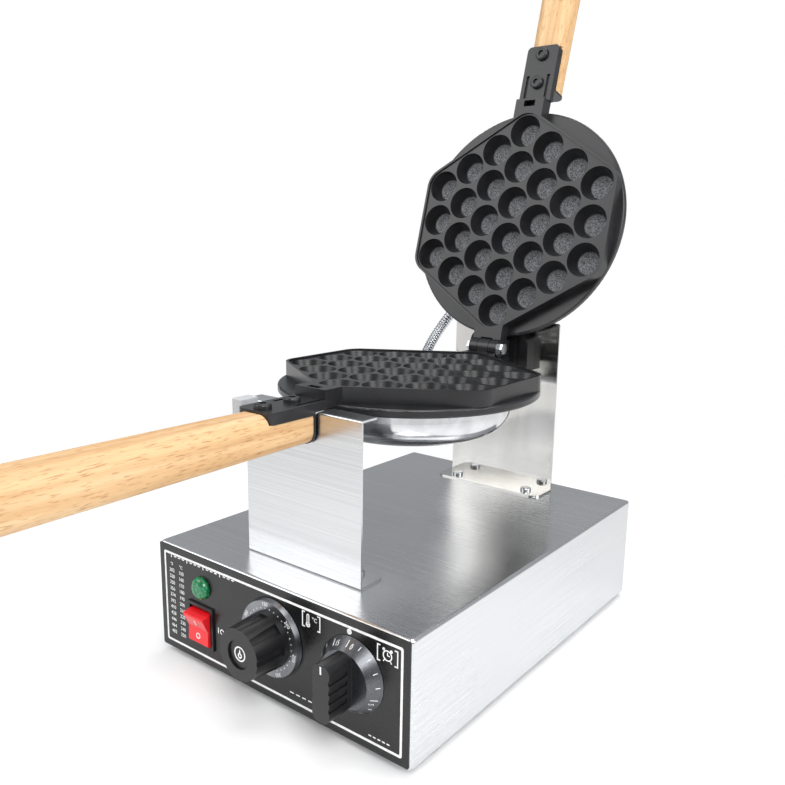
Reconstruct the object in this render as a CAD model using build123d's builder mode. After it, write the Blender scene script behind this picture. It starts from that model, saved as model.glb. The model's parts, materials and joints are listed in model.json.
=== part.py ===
"""Tabletop bubble waffle maker: a stainless base with a control panel carries a round two-part iron between
two upright brackets. The lid swings up on a hinge pin, and the closed iron turns over about its rear shaft.

Millimetres, +Z up, front towards -Y. The values below are counted from the centre of the base's footprint on
the bench. At the end the part is moved along Y, so that its origin is at the bottom centre of its box.
"""

from build123d import *
import math
import os

os.makedirs("parts", exist_ok=True)

# Base
BASE_WIDTH = 240.0
BASE_DEPTH = 322.0
HOUSING_HEIGHT = 85.0
FOOT_HEIGHT = 6.0
FOOT_RADIUS = 9.0
FOOT_EDGE = 1.0
FOOT_INSET_X = 34.0
FOOT_INSET_Y = 36.0
SHEET = 1.2
EDGE_RADIUS = 3.0
BOTTOM_LIP = 12.0
SHEET_GAP = 0.2
PANEL_THICKNESS = 0.8
PANEL_MARGIN = 0.8
PANEL_CORNER = 1.5

# Upright brackets
BRACKET_WIDTH = 108.0
BRACKET_SHEET = 1.5
FRONT_BRACKET_Y = -130.3
FRONT_BRACKET_TOP = 205.8
FRONT_TOP_FLANGE = 15.0
FRONT_FOOT_FLANGE = 27.0
REAR_BRACKET_Y = 136.8
REAR_BRACKET_TOP = 244.4
REAR_FOOT_FLANGE = 28.0
BRACKET_BEND = 1.35
FLANGE_CORNER = 8.0
REAR_TOP_CORNER = 2.0
SCREW_SPACING = 74.0
SCREW_SET_IN = 17.0
SCREW_RADIUS = 2.5
SCREW_HEAD_RADIUS = 4.8
SCREW_HEAD_HEIGHT = 2.6
SCREW_LENGTH = 12.0
NUT_ACROSS = 9.0
NUT_HEIGHT = 4.0
HOLE_GAP = 0.25

# Iron plates
PARTING_Z = 219.0
PAN_Y = -10.0
CELL_PITCH_X = 25.8
CELL_PITCH_Y = 32.6
COLUMNS_EACH_SIDE = 3
MIDDLE_COLUMN_CELLS = 6
OUTLINE_RADIUS = 18.0
MOULD_DEPTH = 11.5
RIM_WIDTH = 2.0
RIM_HEIGHT = 1.5
CUP_MOUTH_RADIUS = 14.5
CUP_FLOOR_RADIUS = 10.0
CUP_DEPTH = 13.6
CUP_FLOOR_FILLET = 3.5
DISC_RADIUS = 102.0
DISC_THICKNESS = 6.0
DISC_EDGE_RADIUS = 1.5
NECK_WIDTH = 28.0
NECK_DEPTH = 13.0
FRONT_NECK_END = -121.0
WINDOW_WIDTH = 11.0
WINDOW_LENGTH = 5.5
WINDOW_EDGE = 1.8
SOCKET_WIDTH = 20.0
SOCKET_HEIGHT = 4.0
SOCKET_LENGTH = 9.0
SOCKET_FLOOR = 1.6
FIT_GAP = 0.2

# Heater and dished cover of each plate
HEATER_MEAN_RADIUS = 55.0
HEATER_WIDTH = 8.0
HEATER_HEIGHT = 6.0
HEATER_SWEEP = 320.0
HEATER_POST_RADIUS = 2.5
HEATER_POST_LENGTH = 10.0
COVER_RADIUS = 80.0
COVER_HEIGHT = 29.5
COVER_SHEET = 1.2
COVER_TURN_RADIUS = 20.0
COVER_SCREW_ANGLES = (-30.0, 60.0, 150.0, 240.0)
COVER_POST_SIZE = 8.0
COVER_POST_HEIGHT = 9.0
COVER_SCREW_DROP = 5.0
COVER_SCREW_RADIUS = 1.5
COVER_SCREW_HEAD_RADIUS = 3.4
COVER_SCREW_HEAD = 1.8

# Hinge of the lid, and rear shaft that the iron turns over on
HINGE_Y = 104.6
HINGE_Z = 222.0
LID_OPEN_ANGLE = 105.65
PIN_RADIUS = 3.0
PIN_GAP = 0.05
KNUCKLE_RADIUS = 8.0
KNUCKLE_WIDTH = 11.0
EAR_INNER_X = 5.9
EAR_SLOT = 32.0
SWING_GAP = 0.5
STOP_GAP = 0.3
STOP_BLOCK_WIDTH = 26.0
STOP_BLOCK_END = 121.0
STOP_BLOCK_TOP = 228.0
HEX_ACROSS = 9.0
HEX_HEAD_LENGTH = 4.0
SHAFT_RADIUS = 7.0
SHAFT_BORE_RADIUS = 3.0
SHAFT_GAP = 0.05
SHAFT_END = 152.0
SHAFT_SEAT = 5.0
SHAFT_NUT_RADIUS = 12.0
SHAFT_NUT_LENGTH = 8.0
SHAFT_NUT_GAP = 0.3
BLOCK_HALF_WIDTH = 30.0
BLOCK_FRONT = 124.8
BLOCK_LOW = 201.0
BLOCK_TOP = 234.2
BLOCK_TOP_CORNER = 11.0
BLOCK_GROOVE_X = 20.0
BLOCK_GROOVE_WIDTH = 3.0
BLOCK_GROOVE_DEPTH = 1.5
BLOCK_SCREW_X = 25.5

# Handles
STRAP_WIDTH = 31.0
STRAP_TOP_DROP = 7.0
STRAP_THICKNESS = 8.0
STRAP_BRIDGE_THICKNESS = 6.0
STRAP_BRIDGE_END = -131.6
STRAP_END = -172.0
STRAP_CORNER = 4.0
STRAP_GROOVE_X = 10.2
STRAP_GROOVE_WIDTH = 3.0
STRAP_GROOVE_DEPTH = 2.0
STRAP_GROOVE_END = -145.0
STRAP_BOLTS_Y = (-138.0, -164.0)
STRAP_BOLT_RADIUS = 3.0
STRAP_BOLT_HEAD_RADIUS = 5.8
STRAP_BOLT_HEAD_HEIGHT = 3.4
STRAP_BOLT_LENGTH = 20.0
STRAP_BOLT_SOCKET = 5.0
GRIP_START = -133.4
GRIP_LENGTH = 260.0
GRIP_TOP_DROP = 9.0
GRIP_WIDTH = 30.0
GRIP_HEIGHT = 26.0
GRIP_END_WIDTH = 34.0
GRIP_END_HEIGHT = 32.0
GRIP_CORNER = 9.0
GRIP_END_ROUND = 8.0
SHOULDER_GAP = 0.6
HANDLE_BLOCK_Y = -161.0
HANDLE_BLOCK_SIZE = (9.0, 14.0, 12.0)
HANDLE_BLOCK_EDGE = 1.0
CRADLE_GAP = 0.35

# Metal conduit between the two covers
CONDUIT_RADIUS = 5.0
CONDUIT_VALLEY = 4.3
CONDUIT_BORE = 3.6
CONDUIT_PITCH = 2.8
CONDUIT_CREST_SHARE = 0.45
CONDUIT_SLOPE_SHARE = 0.1
CONDUIT_STEADY = (0.8, 0.2, -0.55)
CONDUIT_ANGLE_LOW = 124.0
CONDUIT_ANGLE_HIGH = 127.0
CONDUIT_DROP = 13.0
CONDUIT_FIRST_RUN = 44.0
CONDUIT_LAST_RUN = 36.0
CONDUIT_RADIUS_SHARE = 0.49
FITTING_RADIUS = 6.5
FITTING_LENGTH = 9.0

# Controls, each place given across X and up Z on the front
THERMOSTAT_X = 3.0
THERMOSTAT_Z = 53.5
DIAL_RADIUS = 28.0
DIAL_FACE_RADIUS = 26.8
DIAL_THICKNESS = 3.5
KNOB_RADIUS = 20.0
KNOB_WAIST_RADIUS = 18.0
KNOB_LENGTH = 26.5
KNOB_LOBES = 8
KNOB_FLUTE_RADIUS = 5.5
KNOB_FLUTE_DEPTH = 2.6
KNOB_COLLAR = 4.0
KNOB_RECESS_RADIUS = 10.0
KNOB_RECESS_DEPTH = 1.5
TIMER_X = 74.0
TIMER_Z = 53.0
SKIRT_RADIUS = 25.5
SKIRT_FACE_RADIUS = 19.0
SKIRT_THICKNESS = 8.0
GRIP_BAR_WIDTH = 14.0
GRIP_BAR_HEIGHT = 38.0
GRIP_BAR_DEPTH = 20.0
GRIP_BAR_RIBS = 4
GRIP_BAR_RIB_PITCH = 6.0
GRIP_BAR_RIB_DEPTH = 0.8
GRIP_BAR_RIB_LENGTH = 16.0
GRIP_BAR_CORNER = 5.6
CONTROL_GAP = 0.4
SHAFT_ROD_RADIUS = 3.0
SHAFT_ROD_DEPTH = 10.0
WALL_HOLE_RADIUS = 5.0
SWITCH_X = -72.6
SWITCH_Z = 36.6
BEZEL_WIDTH = 29.0
BEZEL_HEIGHT = 33.5
BEZEL_THICKNESS = 1.5
SWITCH_BODY_WIDTH = 25.8
SWITCH_BODY_HEIGHT = 30.8
SWITCH_BODY_DEPTH = 26.0
ROCKER_WIDTH = 22.0
ROCKER_HEIGHT = 24.0
ROCKER_REACH = 9.5
ROCKER_DIP = 3.0
ROCKER_TILT = 12.0
ROCKER_GAP = 0.4
ROCKER_PIVOT_DEPTH = 2.5
AXLE_RADIUS = 1.5
AXLE_SEAT = 1.0
ROCKER_EDGE = 1.0
SWITCH_CAVITY_DEPTH = 14.0
SWING_SHARE = 0.93
LAMP_X = -70.8
LAMP_Z = 66.6
LAMP_RADIUS = 8.6
LAMP_DOME = 5.0
LAMP_ROUND_SHARE = 0.9
LAMP_BODY_RADIUS = 6.0
LAMP_BODY_LENGTH = 18.0

# Pieces inside the base and at its back
THERMOSTAT_BODY = (38.0, 26.0, 34.0)
TIMER_BODY = (44.0, 34.0, 44.0)
TERMINAL_SIZE = (60.0, 20.0, 16.0)
TERMINAL_Y = 60.0
TERMINAL_WAYS = 6
GLAND_X = 70.0
GLAND_Z = 34.0
GLAND_RADIUS = 7.5
GLAND_FLANGE_RADIUS = 12.0
GLAND_BORE = 4.0
GLAND_LENGTH = 14.0
GLAND_FLANGE = 4.0

# Worked out from the values above
base_low = FOOT_HEIGHT
base_top = FOOT_HEIGHT + HOUSING_HEIGHT
base_front = -BASE_DEPTH / 2
base_back = BASE_DEPTH / 2
panel_front = base_front - PANEL_THICKNESS
web_z = PARTING_Z - RIM_HEIGHT
disc_top = PARTING_Z - MOULD_DEPTH
disc_low = disc_top - DISC_THICKNESS
neck_low = PARTING_Z - NECK_DEPTH
strap_top = PARTING_Z - STRAP_TOP_DROP
strap_low = strap_top - STRAP_THICKNESS
hinge_axis = Axis((0, HINGE_Y, HINGE_Z), (1, 0, 0))
pan_axis = Axis((0, PAN_Y, 0), (0, 0, 1))
pan_section = Plane.XZ.offset(-PAN_Y)
cover_bore = COVER_RADIUS - COVER_SHEET
socket_z = neck_low + SOCKET_FLOOR + SOCKET_HEIGHT / 2
ear_reach = KNUCKLE_RADIUS + SWING_GAP
ear_floor = HINGE_Z - ear_reach


finished = {}


def finish(piece, name):
    """Label one finished piece and keep it for the end."""
    piece.label = name
    finished[name] = piece


def as_lid(piece):
    """Mirror a piece of the lower iron onto the lid, and swing it open."""
    return piece.mirror(Plane.XY.offset(PARTING_Z)).rotate(hinge_axis, -LID_OPEN_ANGLE)


def front_plane(x, z, y):
    """Sketch plane parallel to the front, facing the user, at one point."""
    return Plane(origin=(x, y, z), x_dir=(1, 0, 0), z_dir=(0, -1, 0))


def cup_places():
    """Centres of the cups: columns of 3, 4, 5, 6, 5, 4 and 3."""
    places = []
    for column in range(-COLUMNS_EACH_SIDE, COLUMNS_EACH_SIDE + 1):
        cells = MIDDLE_COLUMN_CELLS - abs(column)
        for cell in range(cells):
            along = (cell - (cells - 1) / 2) * CELL_PITCH_Y
            places.append((column * CELL_PITCH_X, PAN_Y + along))
    return places


def outline_corners():
    """Centres of the six corner cups, in order round the hexagon."""
    side_x = COLUMNS_EACH_SIDE * CELL_PITCH_X
    side_y = (MIDDLE_COLUMN_CELLS - COLUMNS_EACH_SIDE - 1) / 2 * CELL_PITCH_Y
    tip_y = (MIDDLE_COLUMN_CELLS - 1) / 2 * CELL_PITCH_Y
    left = [(0, tip_y), (-side_x, side_y), (-side_x, -side_y)]
    around = left + [(-x, -y) for x, y in left]
    return [(x, PAN_Y + y) for x, y in around]


def mould_outline(radius):
    """Hexagon with rounded corners, this far out from the corner cups."""
    with BuildSketch() as outline:
        with BuildLine():
            Polyline(*outline_corners(), close=True)
        make_face()
        offset(amount=radius, kind=Kind.ARC)
    return outline.sketch


# One cup as a solid
cup_floor_z = web_z - CUP_DEPTH
with BuildPart() as cup:
    with BuildSketch(Plane.XZ) as cup_profile:
        with BuildLine():
            Polyline(
                (0, cup_floor_z),
                (CUP_FLOOR_RADIUS, cup_floor_z),
                (CUP_MOUTH_RADIUS, web_z),
                (CUP_MOUTH_RADIUS, web_z + RIM_HEIGHT),
                (0, web_z + RIM_HEIGHT),
                close=True,
            )
        make_face()
        floor_corner = cup_profile.vertices().sort_by(Axis.Y)[:2].sort_by(Axis.X)[-1]
        fillet(floor_corner, radius=CUP_FLOOR_FILLET)
    revolve(axis=Axis.Z)

# Hollow of one mould face: the recess above the web and every cup, taken out of each plate after its necks
with BuildPart() as mould_hollow:
    with BuildSketch(Plane.XY.offset(web_z)):
        add(mould_outline(OUTLINE_RADIUS - RIM_WIDTH))
    extrude(amount=RIM_HEIGHT)
    with Locations(*[(x, y, 0) for x, y in cup_places()]):
        add(cup.part)


def cover_screw_plane(angle):
    """Plane on the cover's side wall at one screw, facing outwards."""
    out = (math.cos(math.radians(angle)), math.sin(math.radians(angle)), 0)
    centre = (COVER_RADIUS * out[0], PAN_Y + COVER_RADIUS * out[1], disc_low - COVER_SCREW_DROP)
    return Plane(origin=centre, x_dir=(0, 0, 1), z_dir=out)


# Folded stainless housing, open below, cut for the controls, screws and cable
wall_inside_x = BASE_WIDTH - 2 * SHEET
wall_inside_y = BASE_DEPTH - 2 * SHEET
inside_front = base_front + SHEET
inside_back = base_back - SHEET
front_screws_y = FRONT_BRACKET_Y + SCREW_SET_IN
rear_screws_y = REAR_BRACKET_Y + BRACKET_SHEET - SCREW_SET_IN
screw_places = [(side * SCREW_SPACING / 2, y) for y in (front_screws_y, rear_screws_y) for side in (-1, 1)]
with BuildPart() as base_housing:
    with BuildSketch(Plane.XY.offset(base_low)):
        Rectangle(BASE_WIDTH, BASE_DEPTH)
    extrude(amount=HOUSING_HEIGHT)
    fillet(base_housing.edges().filter_by(Axis.Z), radius=EDGE_RADIUS)
    fillet(base_housing.faces().sort_by(Axis.Z)[-1].edges(), radius=EDGE_RADIUS - SHEET / 2)
    offset(amount=-SHEET, openings=base_housing.faces().sort_by(Axis.Z)[0])
    with BuildSketch(Plane.XY.offset(base_top)):
        with Locations(*screw_places):
            Circle(SCREW_RADIUS + HOLE_GAP)
    extrude(amount=-2 * SHEET, mode=Mode.SUBTRACT)
    with BuildSketch(front_plane(0, 0, base_front)):
        with Locations((THERMOSTAT_X, THERMOSTAT_Z), (TIMER_X, TIMER_Z)):
            Circle(WALL_HOLE_RADIUS)
        with Locations((LAMP_X, LAMP_Z)):
            Circle(LAMP_BODY_RADIUS + HOLE_GAP)
        with Locations((SWITCH_X, SWITCH_Z)):
            Rectangle(SWITCH_BODY_WIDTH + HOLE_GAP, SWITCH_BODY_HEIGHT + HOLE_GAP)
    extrude(amount=-2 * SHEET, mode=Mode.SUBTRACT)
    with BuildSketch(front_plane(GLAND_X, GLAND_Z, base_back)):
        Circle(GLAND_RADIUS + HOLE_GAP)
    extrude(amount=2 * SHEET, mode=Mode.SUBTRACT)
finish(base_housing.part, "base_housing")

with BuildPart() as bottom_plate:
    with BuildSketch(Plane.XY.offset(base_low)):
        RectangleRounded(wall_inside_x - 2 * SHEET_GAP, wall_inside_y - 2 * SHEET_GAP, EDGE_RADIUS - SHEET)
    extrude(amount=BOTTOM_LIP)
    offset(amount=-SHEET, openings=bottom_plate.faces().sort_by(Axis.Z)[-1])
finish(bottom_plate.part, "bottom_plate")

with BuildPart() as rubber_feet:
    with BuildSketch(Plane.XY):
        with GridLocations(BASE_WIDTH - 2 * FOOT_INSET_X, BASE_DEPTH - 2 * FOOT_INSET_Y, 2, 2):
            Circle(FOOT_RADIUS)
    extrude(amount=FOOT_HEIGHT)
    chamfer(rubber_feet.edges().group_by(Axis.Z)[0], length=FOOT_EDGE)
finish(rubber_feet.part, "rubber_feet")

# Control panel on the front wall
with BuildPart() as control_panel:
    with BuildSketch(front_plane(0, base_low + HOUSING_HEIGHT / 2, base_front)):
        RectangleRounded(BASE_WIDTH - 2 * PANEL_MARGIN, HOUSING_HEIGHT - 2 * PANEL_MARGIN, PANEL_CORNER)
    extrude(amount=PANEL_THICKNESS)
    with BuildSketch(front_plane(0, 0, base_front)):
        with Locations((THERMOSTAT_X, THERMOSTAT_Z), (TIMER_X, TIMER_Z)):
            Circle(WALL_HOLE_RADIUS)
        with Locations((LAMP_X, LAMP_Z)):
            Circle(LAMP_BODY_RADIUS + HOLE_GAP)
        with Locations((SWITCH_X, SWITCH_Z)):
            Rectangle(SWITCH_BODY_WIDTH + HOLE_GAP, SWITCH_BODY_HEIGHT + HOLE_GAP)
    extrude(amount=PANEL_THICKNESS, mode=Mode.SUBTRACT)
finish(control_panel.part, "control_panel")


# Front bracket, with the round cradle that the necks turn in
corner_reach = math.hypot(STRAP_WIDTH / 2, NECK_DEPTH)
with BuildPart() as front_support_bracket:
    with BuildSketch(Plane.YZ) as profile:
        with BuildLine():
            Polyline(
                (FRONT_BRACKET_Y, base_top),
                (FRONT_BRACKET_Y + FRONT_FOOT_FLANGE, base_top),
                (FRONT_BRACKET_Y + FRONT_FOOT_FLANGE, base_top + BRACKET_SHEET),
                (FRONT_BRACKET_Y + BRACKET_SHEET, base_top + BRACKET_SHEET),
                (FRONT_BRACKET_Y + BRACKET_SHEET, FRONT_BRACKET_TOP - BRACKET_SHEET),
                (FRONT_BRACKET_Y + FRONT_TOP_FLANGE, FRONT_BRACKET_TOP - BRACKET_SHEET),
                (FRONT_BRACKET_Y + FRONT_TOP_FLANGE, FRONT_BRACKET_TOP),
                (FRONT_BRACKET_Y, FRONT_BRACKET_TOP),
                close=True,
            )
        make_face()
        fillet(profile.vertices().group_by(Axis.X)[0], radius=BRACKET_BEND)
    extrude(amount=BRACKET_WIDTH / 2, both=True)
    foot_end = front_support_bracket.edges().filter_by(Axis.Z).group_by(Axis.Y)[-1]
    fillet(foot_end, radius=FLANGE_CORNER)
    with BuildSketch(front_plane(0, PARTING_Z, FRONT_BRACKET_Y)):
        Circle(corner_reach + CRADLE_GAP)
    extrude(amount=-2 * FRONT_TOP_FLANGE, mode=Mode.SUBTRACT)
    with BuildSketch(Plane.XY.offset(base_top)):
        with Locations(*screw_places[:2]):
            Circle(SCREW_RADIUS + HOLE_GAP)
    extrude(amount=BRACKET_SHEET, mode=Mode.SUBTRACT)
finish(front_support_bracket.part, "front_support_bracket")

# Rear bracket, with the hole that the shaft passes
with BuildPart() as rear_support_bracket:
    with BuildSketch(Plane.YZ) as profile:
        with BuildLine():
            Polyline(
                (REAR_BRACKET_Y + BRACKET_SHEET - REAR_FOOT_FLANGE, base_top),
                (REAR_BRACKET_Y + BRACKET_SHEET, base_top),
                (REAR_BRACKET_Y + BRACKET_SHEET, REAR_BRACKET_TOP),
                (REAR_BRACKET_Y, REAR_BRACKET_TOP),
                (REAR_BRACKET_Y, base_top + BRACKET_SHEET),
                (REAR_BRACKET_Y + BRACKET_SHEET - REAR_FOOT_FLANGE, base_top + BRACKET_SHEET),
                close=True,
            )
        make_face()
    extrude(amount=BRACKET_WIDTH / 2, both=True)
    foot_end = rear_support_bracket.edges().filter_by(Axis.Z).group_by(Axis.Y)[0]
    fillet(foot_end, radius=FLANGE_CORNER)
    top_corners = rear_support_bracket.edges().filter_by(Axis.Y).group_by(Axis.Z)[-1]
    fillet(top_corners, radius=REAR_TOP_CORNER)
    with BuildSketch(front_plane(0, 0, REAR_BRACKET_Y)):
        with Locations((0, PARTING_Z)):
            Circle(SHAFT_RADIUS + HOLE_GAP)
        with Locations((-BLOCK_SCREW_X, PARTING_Z), (BLOCK_SCREW_X, PARTING_Z)):
            Circle(SCREW_RADIUS + HOLE_GAP)
    extrude(amount=-BRACKET_SHEET, mode=Mode.SUBTRACT)
    with BuildSketch(Plane.XY.offset(base_top)):
        with Locations(*screw_places[2:]):
            Circle(SCREW_RADIUS + HOLE_GAP)
    extrude(amount=BRACKET_SHEET, mode=Mode.SUBTRACT)
finish(rear_support_bracket.part, "rear_support_bracket")

# Screws through both feet and the housing's top, and the nuts under it
for end, places in (("front", screw_places[:2]), ("rear", screw_places[2:])):
    head_low = base_top + BRACKET_SHEET
    with BuildPart() as screws:
        with BuildSketch(Plane.XY.offset(head_low)):
            with Locations(*places):
                Circle(SCREW_HEAD_RADIUS)
        extrude(amount=SCREW_HEAD_HEIGHT)
        fillet(screws.edges().group_by(Axis.Z)[-1], radius=SCREW_HEAD_HEIGHT / 2)
        with BuildSketch(Plane.XY.offset(head_low)):
            with Locations(*places):
                Circle(SCREW_RADIUS)
        extrude(amount=-SCREW_LENGTH)
    finish(screws.part, f"{end}_bracket_screws")
    with BuildPart() as nuts:
        with BuildSketch(Plane.XY.offset(base_top - SHEET)):
            with Locations(*places):
                RegularPolygon(NUT_ACROSS / 2, 6, major_radius=False)
                Circle(SCREW_RADIUS, mode=Mode.SUBTRACT)
        extrude(amount=-NUT_HEIGHT)
    finish(nuts.part, f"{end}_bracket_nuts")

# Bearing block in front of the rear bracket, and its screws from behind
with BuildPart() as bearing_block:
    block_height = BLOCK_TOP - BLOCK_LOW
    block_depth = REAR_BRACKET_Y - BLOCK_FRONT
    with BuildSketch(front_plane(0, BLOCK_LOW + block_height / 2, REAR_BRACKET_Y)) as block_face:
        Rectangle(2 * BLOCK_HALF_WIDTH, block_height)
        fillet(block_face.vertices().group_by(Axis.Y)[-1], radius=BLOCK_TOP_CORNER)
    extrude(amount=block_depth)
    with BuildSketch(front_plane(0, BLOCK_LOW + block_height / 2, BLOCK_FRONT)):
        with Locations((-BLOCK_GROOVE_X, 0), (BLOCK_GROOVE_X, 0)):
            Rectangle(BLOCK_GROOVE_WIDTH, block_height)
    extrude(amount=-BLOCK_GROOVE_DEPTH, mode=Mode.SUBTRACT)
    with BuildSketch(front_plane(0, PARTING_Z, REAR_BRACKET_Y)):
        Circle(SHAFT_RADIUS + SHAFT_GAP)
    extrude(amount=block_depth, mode=Mode.SUBTRACT)
    with BuildSketch(front_plane(0, PARTING_Z, REAR_BRACKET_Y)):
        with Locations((-BLOCK_SCREW_X, 0), (BLOCK_SCREW_X, 0)):
            Circle(SCREW_RADIUS)
    extrude(amount=block_depth / 2, mode=Mode.SUBTRACT)
finish(bearing_block.part, "bearing_block")

with BuildPart() as bearing_block_screws:
    bracket_back = REAR_BRACKET_Y + BRACKET_SHEET
    places = [(-BLOCK_SCREW_X, PARTING_Z), (BLOCK_SCREW_X, PARTING_Z)]
    with BuildSketch(front_plane(0, 0, bracket_back)):
        with Locations(*places):
            Circle(SCREW_HEAD_RADIUS)
    extrude(amount=-SCREW_HEAD_HEIGHT)
    with BuildSketch(front_plane(0, 0, bracket_back)):
        with Locations(*places):
            Circle(SCREW_RADIUS)
    extrude(amount=BRACKET_SHEET + block_depth / 2)
finish(bearing_block_screws.part, "bearing_block_screws")

# Casting shared by both plates: mould block, heater disc, cover posts and front neck
with BuildPart() as casting:
    with BuildSketch(Plane.XY.offset(disc_top)):
        add(mould_outline(OUTLINE_RADIUS))
    extrude(amount=MOULD_DEPTH)
    with BuildSketch(pan_section) as disc_profile:
        with Locations((0, disc_low)):
            Rectangle(DISC_RADIUS, DISC_THICKNESS, align=(Align.MIN, Align.MIN))
        fillet(disc_profile.vertices().group_by(Axis.X)[-1], radius=DISC_EDGE_RADIUS)
    revolve(axis=pan_axis)
    with BuildSketch(Plane.XY.offset(neck_low)):
        with Locations((0, FRONT_NECK_END)):
            Rectangle(NECK_WIDTH, PAN_Y - FRONT_NECK_END, align=(Align.CENTER, Align.MIN))
    extrude(amount=NECK_DEPTH)
    for angle in COVER_SCREW_ANGLES:
        with BuildSketch(Plane.XY.offset(disc_low)):
            with Locations((0, PAN_Y)):
                with PolarLocations(cover_bore - FIT_GAP, 1, start_angle=angle):
                    Rectangle(COVER_POST_SIZE, COVER_POST_SIZE, align=(Align.MAX, Align.CENTER))
        extrude(amount=-COVER_POST_HEIGHT)
    with BuildSketch(front_plane(0, socket_z, FRONT_NECK_END)):
        Rectangle(SOCKET_WIDTH, SOCKET_HEIGHT)
    extrude(amount=-SOCKET_LENGTH, mode=Mode.SUBTRACT)
    with BuildSketch(Plane.XY.offset(socket_z)):
        with Locations((0, FRONT_NECK_END + WINDOW_EDGE)):
            Rectangle(WINDOW_WIDTH, WINDOW_LENGTH, align=(Align.CENTER, Align.MIN))
    extrude(amount=NECK_DEPTH, mode=Mode.SUBTRACT)
    for angle in COVER_SCREW_ANGLES:
        with BuildSketch(cover_screw_plane(angle)):
            Circle(COVER_SCREW_RADIUS + FIT_GAP / 2)
        extrude(amount=-COVER_POST_SIZE, mode=Mode.SUBTRACT)

# Lower plate: the casting, then the rear neck, knuckle and stop block
open_tilt = math.radians(LID_OPEN_ANGLE)
stop_normal = (math.sin(open_tilt), math.cos(open_tilt))
stop_along = (-math.cos(open_tilt), math.sin(open_tilt))
stop_base = (
    HINGE_Y + (KNUCKLE_RADIUS + STOP_GAP) * stop_normal[0],
    HINGE_Z + (KNUCKLE_RADIUS + STOP_GAP) * stop_normal[1],
)


def stop_face_point(height):
    """Point at one height on the face that the open lid's neck rests on."""
    along = (height - stop_base[1]) / stop_along[1]
    return (stop_base[0] + along * stop_along[0], height)


with BuildPart() as lower_plate:
    add(casting.part)
    with BuildSketch(Plane.XY.offset(neck_low)):
        with Locations((0, PAN_Y + COVER_RADIUS)):
            Rectangle(NECK_WIDTH, HINGE_Y - ear_reach - PAN_Y - COVER_RADIUS, align=(Align.CENTER, Align.MIN))
    extrude(amount=NECK_DEPTH)
    with BuildSketch(Plane.XY.offset(neck_low)):
        with Locations((0, PAN_Y + COVER_RADIUS)):
            Rectangle(NECK_WIDTH, STOP_BLOCK_END - PAN_Y - COVER_RADIUS, align=(Align.CENTER, Align.MIN))
    extrude(amount=ear_floor - neck_low)
    with BuildSketch(Plane.YZ):
        with BuildLine():
            Polyline(
                stop_face_point(ear_floor),
                stop_face_point(STOP_BLOCK_TOP),
                (STOP_BLOCK_END, STOP_BLOCK_TOP),
                (STOP_BLOCK_END, ear_floor),
                close=True,
            )
        make_face()
    extrude(amount=STOP_BLOCK_WIDTH / 2, both=True)
    with BuildSketch(Plane.YZ):
        with Locations((HINGE_Y, HINGE_Z)):
            Circle(KNUCKLE_RADIUS)
        with Locations((HINGE_Y, neck_low)):
            Rectangle(2 * KNUCKLE_RADIUS, HINGE_Z - neck_low, align=(Align.CENTER, Align.MIN))
    extrude(amount=KNUCKLE_WIDTH / 2, both=True)
    with BuildSketch(Plane.YZ):
        with Locations((HINGE_Y, HINGE_Z)):
            Circle(PIN_RADIUS + PIN_GAP)
    extrude(amount=NECK_WIDTH / 2, both=True, mode=Mode.SUBTRACT)
    with BuildSketch(front_plane(0, PARTING_Z, STOP_BLOCK_END)):
        Circle(SHAFT_RADIUS)
    extrude(amount=SHAFT_SEAT, mode=Mode.SUBTRACT)
    add(mould_hollow.part, mode=Mode.SUBTRACT)
finish(lower_plate.part, "lower_plate")

# Lid plate: the same casting, with a slotted neck whose two ears take the pin
mirrored_hinge_z = 2 * PARTING_Z - HINGE_Z
with BuildPart() as upper_plate:
    add(casting.part)
    with BuildSketch(Plane.YZ):
        with Locations((PAN_Y + COVER_RADIUS, mirrored_hinge_z - KNUCKLE_RADIUS)):
            Rectangle(
                HINGE_Y - PAN_Y - COVER_RADIUS,
                PARTING_Z - mirrored_hinge_z + KNUCKLE_RADIUS,
                align=(Align.MIN, Align.MIN),
            )
        with Locations((HINGE_Y, mirrored_hinge_z)):
            Circle(KNUCKLE_RADIUS)
            Circle(PIN_RADIUS + PIN_GAP, mode=Mode.SUBTRACT)
    extrude(amount=NECK_WIDTH / 2, both=True)
    with BuildSketch(Plane.YZ):
        with Locations((HINGE_Y - ear_reach, mirrored_hinge_z)):
            Rectangle(EAR_SLOT, EAR_SLOT, align=(Align.MIN, Align.CENTER))
    extrude(amount=EAR_INNER_X, both=True, mode=Mode.SUBTRACT)
    add(mould_hollow.part, mode=Mode.SUBTRACT)
finish(as_lid(upper_plate.part), "upper_plate")

# Heater pressed on each disc, with its two posts
with BuildPart() as heater:
    with BuildSketch(pan_section):
        with Locations((HEATER_MEAN_RADIUS, disc_low)):
            Rectangle(HEATER_WIDTH, HEATER_HEIGHT, align=(Align.CENTER, Align.MAX))
    revolve(axis=pan_axis, revolution_arc=HEATER_SWEEP)
    with BuildSketch(Plane.XY.offset(disc_low - HEATER_HEIGHT)):
        with Locations((0, PAN_Y)):
            for end in (HEATER_WIDTH, HEATER_SWEEP - HEATER_WIDTH):
                with PolarLocations(HEATER_MEAN_RADIUS, 1, start_angle=end):
                    Circle(HEATER_POST_RADIUS)
    extrude(amount=-HEATER_POST_LENGTH)
finish(heater.part, "lower_heater")
finish(as_lid(heater.part), "upper_heater")

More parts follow.
